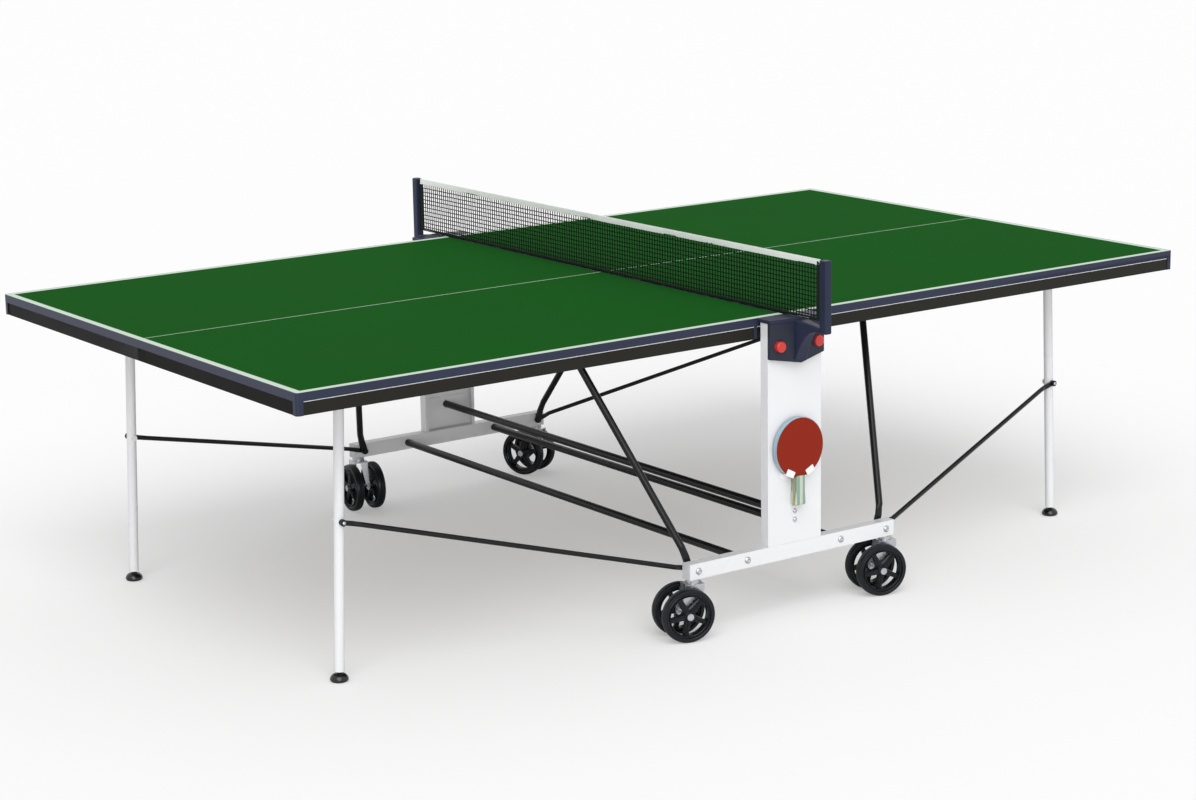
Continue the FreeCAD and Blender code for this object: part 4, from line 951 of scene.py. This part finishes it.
@dataclass
class Wheel:
    """A spoked wheel: tread ring, lipped rim, hub and tapered spokes."""

    ending: str
    row: str
    repeats: Repeats
    radius: float = 67.5 * MM
    width: float = 24.0 * MM
    tread: float = 9.5 * MM
    rim: float = 19.0 * MM
    hub: float = 13.0 * MM
    bore: float = 4.1 * MM
    spokes: int = 5
    spoke_half_mm: float = 8.2
    spoke_taper_mm: float = 3.2
    spoke_flare_mm: float = 2.4
    spoke_depth_mm: float = 8.6
    spoke_thinning_mm: float = 2.6
    spoke_rib: float = 1.5 * MM
    flare_from: float = 0.85
    first_spoke_deg: float = 0.0

    def build(self) -> None:
        """Makes the wheel on its own axis and hands it over in place."""
        joint = next(j for j in FRAME["joints"] if j["name"] == f"{self.row}_wheel_spin_{self.ending}")
        low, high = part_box(f"wheel_{self.row}_{self.ending}")
        axis = Vector(joint["axis"])
        across = axis.cross(Vector((0.0, 0.0, 1.0)))
        turn = Matrix((across, Vector((0.0, 0.0, 1.0)), axis)).transposed().to_4x4()
        place = Matrix.Translation((low + high) / 2.0) @ turn
        mesh = bmesh.new()
        ring_shell(mesh, self.rim_profile(), place, 0)
        ring_shell(mesh, self.tread_profile(), place, 1)
        ring_shell(mesh, self.hub_profile(), place, 0)
        spoke = template("one_spoke", self.spoke())
        arms = self.repeats.bake("spokes", self.repeats.ring, {
            "Piece": spoke, "Count": self.spokes, "First Angle": math.radians(self.first_spoke_deg),
            "Material": WHEEL_PLASTIC.material()}, place)
        mesh.from_mesh(arms.data)
        bpy.data.objects.remove(arms)
        name = f"wheel_{self.row}_{self.ending}"
        made = piece_from(name + "_finished", mesh, [WHEEL_PLASTIC, TREAD])
        hand_over(made, f"{self.row}_wheel_{self.ending}", [name])

    def tread_profile(self) -> list[tuple[float, float]]:
        """Crowned rubber ring with two shallow grooves.

        Returns:
            Closed outline of (radius, height).
        """
        half = self.width / 2.0
        seat = self.radius - self.tread
        outline = [(seat, -half * 0.90), (self.radius - 5.2 * MM, -half * 0.97),
                   (self.radius - 2.6 * MM, -half * 0.90), (self.radius - 0.8 * MM, -half * 0.66),
                   (self.radius - 0.3 * MM, -half * 0.40),
                   (self.radius - 1.2 * MM, -half * 0.34), (self.radius - 1.2 * MM, -half * 0.26),
                   (self.radius, -half * 0.20)]
        return outline + [(r, -h) for r, h in reversed(outline)]

    def rim_profile(self) -> list[tuple[float, float]]:
        """Moulded rim: a web with a raised lip inside and a bead under the tread.

        Returns:
            Closed outline of (radius, height).
        """
        half = self.width / 2.0
        inner = self.radius - self.rim
        bead = self.radius - self.tread
        outline = [(inner, -half * 0.72), (inner + 0.7 * MM, -half * 0.90), (inner + 1.8 * MM, -half * 0.96),
                   (inner + 2.9 * MM, -half * 0.88), (inner + 3.6 * MM, -half * 0.62),
                   (bead - 2.6 * MM, -half * 0.62), (bead - 1.9 * MM, -half * 0.94), (bead - 0.9 * MM, -half),
                   (bead + 0.4 * MM, -half * 0.97)]
        return outline + [(r, -h) for r, h in reversed(outline)]

    def hub_profile(self) -> list[tuple[float, float]]:
        """Hub barrel with a bore and a stepped face.

        Returns:
            Closed outline of (radius, height).
        """
        half = self.width / 2.0
        outline = [(self.bore, -half), (self.hub - 4.2 * MM, -half), (self.hub - 3.6 * MM, -half * 0.92),
                   (self.hub - 1.2 * MM, -half * 0.88), (self.hub, -half * 0.74)]
        return outline + [(r, -h) for r, h in reversed(outline)]

    def spoke(self) -> bmesh.types.BMesh:
        """One tapered spoke along +X with a raised rib down its middle.

        Returns:
            The spoke as a closed shell.
        """
        mesh = bmesh.new()
        start = self.hub - 2.0 * MM
        end = self.radius - self.rim + 1.0 * MM
        sections = []
        for share in (0.0, 0.12, 0.5, self.flare_from, 1.0):
            reach = start + (end - start) * share
            flare = max(0.0, share - self.flare_from) / (1.0 - self.flare_from)
            wide = (self.spoke_half_mm - self.spoke_taper_mm * share + self.spoke_flare_mm * flare) * MM
            deep = (self.spoke_depth_mm - self.spoke_thinning_mm * share) * MM
            rib = deep + self.spoke_rib
            outline = [(-wide, -deep * 0.7), (-wide * 0.86, -deep), (-wide * 0.34, -deep),
                       (-wide * 0.22, -rib), (wide * 0.22, -rib), (wide * 0.34, -deep), (wide * 0.86, -deep),
                       (wide, -deep * 0.7)]
            outline += [(y, -z) for y, z in reversed(outline)]
            sections.append([Vector((reach, y, z)) for y, z in outline])
        loft(mesh, sections)
        return mesh


@dataclass
class Caster:
    """Twin-wheel caster: fork and two wheels."""

    side: Side
    ending: str
    repeats: Repeats
    fork_round: float = 0.6 * MM

    def build(self) -> None:
        """Makes and hands over the caster's pieces."""
        node = "caster_fork_" + self.ending
        hand_over(softened(node, ZINC, self.fork_round, 3.0 * MM), "caster_" + self.ending, [node])
        for row in ("inner", "outer"):
            Wheel(self.ending, row, self.repeats, first_spoke_deg=self.spoke_angle()).build()

    def spoke_angle(self) -> float:
        """Angle at which this caster's wheels came to rest."""
        return {Side.NEAR: -98.0, Side.FAR: -60.0}[self.side]


@dataclass
class Pedestal:
    """One pedestal: column, base rail, housing, its roof and the collars round the button holes."""

    side: Side
    fold: float = 1.2 * MM
    rail_round: float = 2.0 * MM
    housing_round: float = 1.6 * MM
    roof_drop: float = 9.0 * MM
    roof_reach: float = 1.6 * MM
    roof_round: float = 2.0 * MM
    collar: float = 2.2 * MM
    collar_gap: float = 0.9 * MM
    housing_side: float = 10.0 * MM
    button_flange: float = 3.0 * MM
    nose_half: float = 6.0 * MM

    def build(self) -> None:
        """Makes and hands over the pieces that stand still on one side."""
        label = self.side.name.lower()
        for kind, finish, slot, width, shortest in (
                ("column_", WHITE_PAINT, "white_steel", self.fold, 9.0 * MM),
                ("base_rail_", WHITE_PAINT, "white_steel", self.rail_round, 9.0 * MM),
                ("latch_housing_", SLATE, "navy_plastic", self.housing_round, 4.0 * MM)):
            node = kind + label
            hand_over(softened(node, finish, width, shortest), "root", [node])
        hand_over(self.roof(label), "root")
        hand_over(self.collars(label), "root")

    def roof(self, label: str) -> bpy.types.Object:
        """Crowned cover plate over the housing, a little proud of its ridged front.

        Args:
            label: near or far.

        Returns:
            The piece.
        """
        low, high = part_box("latch_housing_" + label)
        column_low, column_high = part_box("column_" + label)
        sign = self.side.value
        inner = min(abs(low.y), abs(high.y))
        ridge = max(abs(low.y), abs(high.y)) + self.roof_reach
        edge = max(abs(column_low.y), abs(column_high.y)) + self.housing_side + self.roof_reach
        half_width = high.x + self.roof_reach
        mesh = bmesh.new()
        shoulder = ridge - 0.4 * MM
        plan = [(-half_width, inner), (half_width, inner), (half_width, edge), (self.nose_half, shoulder),
                (0.0, ridge), (-self.nose_half, shoulder), (-half_width, edge)]
        levels = [high.z - self.roof_drop, high.z + 0.3 * MM]
        loft(mesh, [[Vector((x, sign * y, z)) for x, y in plan] for z in levels])
        rims = [edge for edge in mesh.edges if edge.calc_face_angle(0.0) > SHARP_ANGLE]
        bmesh.ops.bevel(mesh, geom=rims, offset=self.roof_round, segments=3, profile=0.5, affect="EDGES",
                        clamp_overlap=True)
        return piece_from("housing_roof_" + label, mesh, [NAVY])

    def collars(self, label: str) -> bpy.types.Object:
        """Moulded rings round the two button holes.

        Args:
            label: near or far.

        Returns:
            The piece, which holds both rings.
        """
        _, housing_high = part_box("latch_housing_far")
        side_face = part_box("column_far")[1].y + self.housing_side
        ridge = housing_high.y - side_face
        slope = ridge / housing_high.x
        mesh = bmesh.new()
        for half in Half:
            low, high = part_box(f"release_button_{label}_{half.name.lower()}")
            middle = (low + high) / 2.0
            reach = side_face + ridge * (1.0 - abs(middle.x) / housing_high.x)
            place = Vector((middle.x, self.side.value * reach, middle.z))
            axis = Vector((half.value * slope, self.side.value, 0.0)).normalized()
            inner = (high.z - low.z) / 2.0 - self.button_flange + self.collar_gap
            outer = inner + self.collar
            outline = [(inner, -1.0 * MM), (outer, -1.0 * MM), (outer, 0.3 * MM),
                       (inner + self.collar * 0.7, 0.9 * MM), (inner + 0.4 * MM, 0.9 * MM), (inner, 0.5 * MM)]
            ring_shell(mesh, outline, pointing(place, axis), 0)
        return piece_from("button_collars_" + label, mesh, [NAVY])


@dataclass
class Standing:
    """The other pieces that stand still: caps, tubes, plates, stems, fasteners, clips and springs."""

    cap_round: float = 1.6 * MM
    plate_round: float = 0.9 * MM
    clip_round: float = 0.5 * MM
    rail_bolt: float = 9.2 * MM
    column_screw: float = 6.6 * MM
    head_height: float = 4.2 * MM
    widest_screw: float = 13.0 * MM

    def build(self) -> None:
        """Makes and hands over the pieces."""
        for node, finish, slot, width, shortest in (
                ("rail_end_caps", CAP_PLASTIC, "grey_plastic", self.cap_round, 8.0 * MM),
                ("tube_plates", PLATE_PAINT, "white_steel", self.plate_round, 9.0 * MM),
                ("bat_clips", CLIP_PLASTIC, "clip_plastic", self.clip_round, 1.5 * MM)):
            hand_over(softened(node, finish, width, shortest), "root", [node])
        for node, finish in (("upper_cross_tube", BLACK_PAINT), ("lower_cross_tubes", BLACK_PAINT),
                             ("caster_stems", ZINC), ("latch_springs", SPRING_STEEL)):
            dress(node, finish)
        hand_over(self.fasteners(), "root", ["rail_fasteners"])
        for _, _, ending in places():
            dress("release_button_" + ending, RED)

    def fasteners(self) -> bpy.types.Object:
        """Bolts through the rails and screws through the columns, at the places of the real holes.

        Returns:
            The piece, which holds all the heads.
        """
        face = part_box("column_far")[1].y
        mesh = bmesh.new()
        for low, high in separate_boxes("rail_fasteners"):
            middle = (low + high) / 2.0
            side = math.copysign(1.0, middle.y)
            radius = self.rail_bolt if high.x - low.x > self.widest_screw else self.column_screw
            bolt_head(mesh, Vector((middle.x, side * face, middle.z)), Vector((0.0, side, 0.0)), radius,
                      self.head_height)
        return piece_from("rail_bolts_and_screws", mesh, [ZINC])


@dataclass
class NetSet:
    """Net, head tape, side tapes, bottom line, stitches, posts and arms."""

    repeats: Repeats
    cell: float = 11.0 * MM
    cord: float = 2.8 * MM
    knot: float = 1.7 * MM
    slack: float = 1.6 * MM
    tape_thickness: float = 0.7 * MM
    tape_half: float = 1.7 * MM
    tape_dip: float = 1.1 * MM
    tape_stations: int = 90
    ripples: tuple[tuple[float, float, float], ...] = ((0.45 * MM, 61.0, 0.0), (0.35 * MM, 23.0, 1.0))
    side_tape: float = 20.0 * MM
    side_tape_thickness: float = 3.0 * MM
    side_tape_round: float = 1.2 * MM
    foot_tape_thickness: float = 2.6 * MM
    foot_tape_height: float = 6.0 * MM
    foot_tape_up: float = 3.6 * MM
    tape_short_of_post: float = 8.0 * MM
    stitch_pitch: float = 5.0 * MM
    stitch: float = 3.2 * MM
    thread: float = 0.35 * MM
    head_seam_out: float = 1.85 * MM
    head_seam_up: float = 3.0 * MM
    foot_seam_out: float = 1.5 * MM
    foot_seam_up: float = 1.6 * MM
    foot_seam_from_tape: float = 50.0 * MM
    foot_stitches: int = 9
    arm_root_top: float = 759.0 * MM
    arm_tip_top: float = 747.0 * MM
    arm_half: float = 10.5 * MM
    arm_flare: float = 9.0 * MM
    arm_round: float = 3.0 * MM
    gusset: float = 78.0 * MM
    arm_steps: int = 16
    post_width: float = 21.0 * MM
    post_depth: float = 23.0 * MM
    post_round: float = 3.2 * MM

    def build(self) -> None:
        """Makes and hands over the net's pieces."""
        low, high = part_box("net_mesh")
        _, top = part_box("net_band")
        end = high.y
        inner = end - self.side_tape
        columns = round(2.0 * inner / self.cell) + 1
        rows = round((high.z - low.z) / self.cell) + 1
        net = self.repeats.bake("net_cords", self.repeats.net, {
            "Length": 2.0 * inner, "Height": high.z - low.z, "Columns": columns, "Rows": rows,
            "Cord Radius": self.cord / 2.0, "Knot Radius": self.knot, "Slack": self.slack, "Seed": 3.0,
            "Middle": (0.0, 0.0, (low.z + high.z) / 2.0), "Material": NET_CORD.material()})
        hand_over(net, "root", ["net_mesh"])
        tape = hand_over(self.head_tape(high.z, top.z, end), "root", ["net_band"])
        sides = hand_over(self.side_tapes(low.z, top.z, end), "root")
        line = hand_over(self.bottom_line(low.z, end + 0.5 * MM), "root")
        seams = hand_over(self.seams(high.z, low.z, end), "root")
        for side in Side:
            hand_over(self.post(side), "root", ["net_post_" + side.name.lower()])

    def head_tape(self, low: float, top: float, end: float) -> bpy.types.Object:
        """White tape folded over the top line, with a slight ripple along its lower edges.

        Args:
            low: Height of its lower edges.
            top: Height of its fold.
            end: Half the net's length.

        Returns:
            The piece.
        """
        mesh = bmesh.new()
        outer = self.tape_half
        reach = end - self.tape_short_of_post
        sections = []
        for step in range(self.tape_stations + 1):
            share = step / self.tape_stations
            y = -reach + 2.0 * reach * share
            ripple = sum(depth * math.sin(share * rate + phase) for depth, rate, phase in self.ripples)
            dip = self.tape_dip * math.sin(math.pi * share)
            outline = [(outer, low), (outer, top - outer)]
            outline += [(outer * math.cos(a), top - outer + outer * math.sin(a))
                        for a in (math.pi * k / 6.0 for k in range(1, 6))]
            outline += [(-outer, top - outer), (-outer, low)]
            inside = [(x - math.copysign(self.tape_thickness, x) if abs(x) > self.tape_thickness else 0.0,
                       z if z <= low else z - self.tape_thickness) for x, z in reversed(outline)]
            sections.append([Vector((x + ripple * (top - z) / (top - low), y, z - dip))
                             for x, z in outline + inside])
        loft(mesh, sections)
        return piece_from("net_head_tape", mesh, [HEAD_TAPE], weighted=False)

    def side_tapes(self, low: float, top: float, end: float) -> bpy.types.Object:
        """Dark tapes that bind the net's two ends beside the posts.

        Args:
            low: Height of the net's foot.
            top: Height of the head tape's fold.
            end: Half the net's length.

        Returns:
            The piece, which holds both tapes.
        """
        mesh = bmesh.new()
        for side in Side:
            outline = rounded_rectangle(self.side_tape_thickness, self.side_tape, self.side_tape_round)
            middle = end - self.side_tape / 2.0
            levels = (low - 0.5 * MM, low + 2.0 * MM, (low + top) / 2.0, top - 6.0 * MM, top - 3.0 * MM)
            loft(mesh, [[Vector((x, side.value * middle + y, z)) for x, y in outline] for z in levels])
        return piece_from("net_side_tapes", mesh, [SIDE_TAPE])

    def bottom_line(self, low: float, end: float) -> bpy.types.Object:
        """Narrow dark tape along the foot of the net, from post to post.

        Args:
            low: Height of the net's foot.
            end: How far it reaches to each side.

        Returns:
            The piece.
        """
        mesh = bmesh.new()
        outline = rounded_rectangle(self.foot_tape_thickness, self.foot_tape_height, self.side_tape_round, 2)
        middle = low + self.foot_tape_up
        loft(mesh, [[Vector((x, y, middle + z)) for x, z in outline] for y in (-end, end)])
        return piece_from("net_foot_tape", mesh, [SIDE_TAPE], weighted=False)

    def seams(self, tape_low: float, net_low: float, end: float) -> bpy.types.Object:
        """Stitches along both faces of the head tape, and a few on the bottom line near each post.

        Args:
            tape_low: Height of the head tape's lower edges.
            net_low: Height of the net's foot.
            end: Half the net's length.

        Returns:
            The piece, which holds every stitch.
        """
        mesh = bmesh.new()
        half = self.stitch / 2.0
        profile = [(0.0, -half), (self.thread, -half * 0.7), (self.thread, half * 0.7), (0.0, half)]
        lathe(mesh, profile, pointing(Vector((0.0, 0.0, 0.0)), Vector((0.0, 1.0, 0.0))), steps=5)
        stitch = template("one_stitch", mesh)
        reach = end - self.tape_short_of_post - self.stitch_pitch
        rows = []
        for x in (-self.head_seam_out, self.head_seam_out):
            count = round(2.0 * reach / self.stitch_pitch)
            rows.append(((x, -reach, tape_low + self.head_seam_up), count))
        for side in Side:
            start = side.value * (end - self.side_tape - self.foot_seam_from_tape)
            if side is Side.NEAR:
                start -= self.stitch_pitch * (self.foot_stitches // 2)
            for x in (-self.foot_seam_out, self.foot_seam_out):
                rows.append(((x, start, net_low + self.foot_seam_up), self.foot_stitches))
        made = [self.repeats.bake("stitch_row", self.repeats.row, {
            "Piece": stitch, "Count": count, "Start": start, "Step": (0.0, self.stitch_pitch, 0.0),
            "Material": THREAD.material()}) for start, count in rows]
        return joined("net_seams", made, THREAD)

    def post(self, side: Side) -> bpy.types.Object:
        """Net post with chamfered corners, and its arm, which sweeps down and widens to the housing.

        Args:
            side: The side that it stands on.

        Returns:
            The piece.
        """
        low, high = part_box("net_post_" + side.name.lower())
        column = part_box("column_far")[1].y
        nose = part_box("latch_housing_far")[1].y
        outer = max(abs(low.y), abs(high.y))
        middle = side.value * (outer - self.post_depth / 2.0)
        mesh = bmesh.new()
        # Each level's height and its inset in millimetres: a chamfer at the foot and a rounded top.
        levels = ((low.z, 1.6), (low.z + 1.6 * MM, 0.0), (high.z - 2.2 * MM, 0.0), (high.z - 0.6 * MM, 1.4),
                  (high.z, 2.8))
        sections = []
        for z, inset in levels:
            smaller = 2.0 * inset * MM
            outline = rounded_rectangle(self.post_width - smaller, self.post_depth - smaller,
                                        self.post_round, 2)
            sections.append([Vector((x, middle + y, z)) for x, y in outline])
        loft(mesh, sections)
        root = column - 2.0 * MM
        tip = outer - self.post_depth + 1.0 * MM
        arm = []
        reach = [root] + [nose + (tip - nose) * step / self.arm_steps for step in range(self.arm_steps + 1)]
        for y in reach:
            sweep = min(1.0, (tip - y) / (tip - nose))
            half = self.arm_half + self.arm_flare * sweep ** 2.0
            bottom = low.z + 1.5 * MM - self.gusset * sweep ** 3.0
            top = self.arm_tip_top + (self.arm_root_top - self.arm_tip_top) * (tip - y) / (tip - root)
            outline = rounded_rectangle(2.0 * half, top - bottom, self.arm_round, 3)
            arm.append([Vector((x, side.value * y, (top + bottom) / 2.0 + z)) for x, z in outline])
        loft(mesh, arm)
        return piece_from("net_post_and_arm_" + side.name.lower(), mesh, [NAVY])


@dataclass
class Bat:
    """The bat in its clips: blade with edge film, two rubbers and the grip."""

    rubber_round: float = 0.8 * MM
    grip_round: float = 4.5 * MM
    film: float = 0.25 * MM
    film_short: float = 0.6 * MM
    blade_centre_z: float = 434.0 * MM
    film_gap_angle: float = 0.30
    film_steps: int = 96

    def build(self) -> None:
        """Makes and hands over the bat's pieces."""
        dress("bat_blade", BAT_PLY)
        for node in ("bat_rubber_front", "bat_rubber_back"):
            hand_over(softened(node, BAT_RUBBER, self.rubber_round, 0.5 * MM), "bat", [node])
        hand_over(softened("bat_handle", BAT_GRIP, self.grip_round, 8.0 * MM, segments=4), "bat",
                  ["bat_handle"])
        hand_over(self.edge_film(), "bat")

    def edge_film(self) -> bpy.types.Object:
        """Thin film round the edges of the blade and both rubbers, open at the grip.

        Returns:
            The piece.
        """
        low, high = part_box("bat_rubber_front")
        back_low, back_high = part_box("bat_rubber_back")
        centre = Vector(((low.x + high.x) / 2.0, 0.0, (low.z + high.z) / 2.0))
        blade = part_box("bat_blade")[1]
        height = blade.z - self.blade_centre_z
        width = (high.x - low.x) / 2.0
        y0 = min(low.y, back_low.y) + self.film_short
        y1 = max(high.y, back_high.y) - self.film_short
        mesh = bmesh.new()
        gap = self.film_gap_angle
        sections = []
        for step in range(self.film_steps + 1):
            angle = -math.pi / 2.0 + gap + (math.tau - 2.0 * gap) * step / self.film_steps
            out = Vector((math.cos(angle), 0.0, math.sin(angle)))
            foot = Vector((centre.x + width * out.x, 0.0, self.blade_centre_z + height * out.z))
            proud = foot + out * self.film
            sunk = foot - out * self.film
            sections.append([Vector((sunk.x, y0, sunk.z)), Vector((proud.x, y0, proud.z)),
                             Vector((proud.x, y1, proud.z)), Vector((sunk.x, y1, sunk.z))])
        loft(mesh, sections)
        return piece_from("bat_edge_film", mesh, [BAT_TAPE], weighted=False)


@dataclass(frozen=True)
class Lamp:
    """One distant lamp with a soft edge: its strength, its spread and the direction that it comes from."""

    name: str
    strength: float
    spread_deg: float
    comes_from: tuple[float, float, float]


@dataclass
class Studio:
    """Floor, lamps and camera."""

    focal: float = 82.7
    azimuth_deg: float = -35.64
    elevation_deg: float = 12.923
    roll_deg: float = -0.98
    camera_place: tuple[float, float, float] = (-4.218, -5.855, 2.065)
    ambient: float = 0.56
    lamps: tuple[Lamp, ...] = (Lamp("overhead_lamp", 1.60, 48.0, (-0.45, -0.72, 0.85)),
                               Lamp("low_front_lamp", 1.10, 30.0, (-0.45, -0.85, 0.07)))
    floor_half: float = 30.0
    floor_fill: float = 0.25
    floor_glow: float = 1.18
    floor_colour: str = "FBFBFB"

    def build(self) -> None:
        """Makes the floor, the light and the camera."""
        self.floor()
        self.light()
        self.camera()
        bpy.context.scene.view_settings.view_transform = "Standard"

    def floor(self) -> None:
        """Plain pale floor that glows a little towards the camera, so that its shadows stay light."""
        mesh = bmesh.new()
        corners = [mesh.verts.new((x * self.floor_half, y * self.floor_half, 0.0))
                   for x, y in ((-1, -1), (1, -1), (1, 1), (-1, 1))]
        mesh.faces.new(corners)
        paint = Finish("pale_studio_floor", self.floor_colour, 0.9, grain_mm=6.0, grain_depth_mm=0.01,
                       mottle=0.003, mottle_mm=900.0, gloss_spread=0.02,
                       shader_values=(("Specular IOR Level", 0.0),))
        tree = paint.material().node_tree
        shader = tree.nodes["Principled BSDF"]
        path = add_node(tree, "ShaderNodeLightPath")
        fill = math_of(tree, "MULTIPLY", path.outputs["Is Camera Ray"], self.floor_fill)
        glow = add_node(tree, "ShaderNodeEmission", {"Color": (1.0, 1.0, 1.0, 1.0),
                                                     "Strength": self.floor_glow})
        mixed = add_node(tree, "ShaderNodeMixShader", {0: fill, 1: shader.outputs["BSDF"],
                                                       2: glow.outputs["Emission"]})
        tree.links.new(mixed.outputs["Shader"], tree.nodes["Material Output"].inputs["Surface"])
        piece_from("studio_floor", mesh, [paint], weighted=False)

    def light(self) -> None:
        """Even sky, white where it is seen or mirrored, and the broad soft lamps."""
        world = bpy.data.worlds.new("studio")
        bpy.context.scene.world = world
        world.use_nodes = True
        tree = world.node_tree
        path = add_node(tree, "ShaderNodeLightPath")
        seen = math_of(tree, "MAXIMUM", path.outputs["Is Camera Ray"], path.outputs["Is Glossy Ray"])
        seen = math_of(tree, "MAXIMUM", seen, path.outputs["Is Transmission Ray"])
        shown = math_of(tree, "MULTIPLY_ADD", seen, 1.0 - self.ambient, self.ambient)
        background = tree.nodes["Background"]
        background.inputs["Color"].default_value = (1.0, 1.0, 1.0, 1.0)
        tree.links.new(shown, background.inputs["Strength"])
        for lamp in self.lamps:
            data = bpy.data.lights.new(lamp.name, "SUN")
            data.energy = lamp.strength
            data.angle = math.radians(lamp.spread_deg)
            holder = bpy.data.objects.new(lamp.name, data)
            holder.rotation_euler = Vector(lamp.comes_from).to_track_quat("Z", "Y").to_euler()
            bpy.context.scene.collection.objects.link(holder)

    def camera(self) -> None:
        """Camera at three-quarter view from the table's near left."""
        azimuth, elevation = math.radians(self.azimuth_deg), math.radians(self.elevation_deg)
        roll = math.radians(self.roll_deg)
        back = Vector((math.sin(azimuth) * math.cos(elevation), -math.cos(azimuth) * math.cos(elevation),
                       math.sin(elevation)))
        right = (-back).cross(Vector((0.0, 0.0, 1.0))).normalized()
        up = right.cross(-back)
        rolled_right = right * math.cos(roll) + up * math.sin(roll)
        rolled_up = up * math.cos(roll) - right * math.sin(roll)
        data = bpy.data.cameras.new("camera")
        data.lens = self.focal
        data.sensor_width = 36.0
        data.clip_end = 200.0
        holder = bpy.data.objects.new("camera", data)
        axes = Matrix((rolled_right, rolled_up, back)).transposed().to_4x4()
        holder.matrix_world = Matrix.Translation(self.camera_place) @ axes
        bpy.context.scene.collection.objects.link(holder)
        bpy.context.scene.camera = holder


def main() -> None:
    """Builds the studio and every sub-assembly."""
    logging.basicConfig(level=logging.INFO, format="%(name)s: %(message)s")
    Studio().build()
    repeats = Repeats()
    for half in Half:
        TableHalf(half).build()
        FoldingFrame(half).build()
    for side in Side:
        Pedestal(side).build()
    Standing().build()
    for side, _, ending in places():
        Caster(side, ending, repeats).build()
    NetSet(repeats).build()
    Bat().build()


if __name__ == "__main__":
    main()
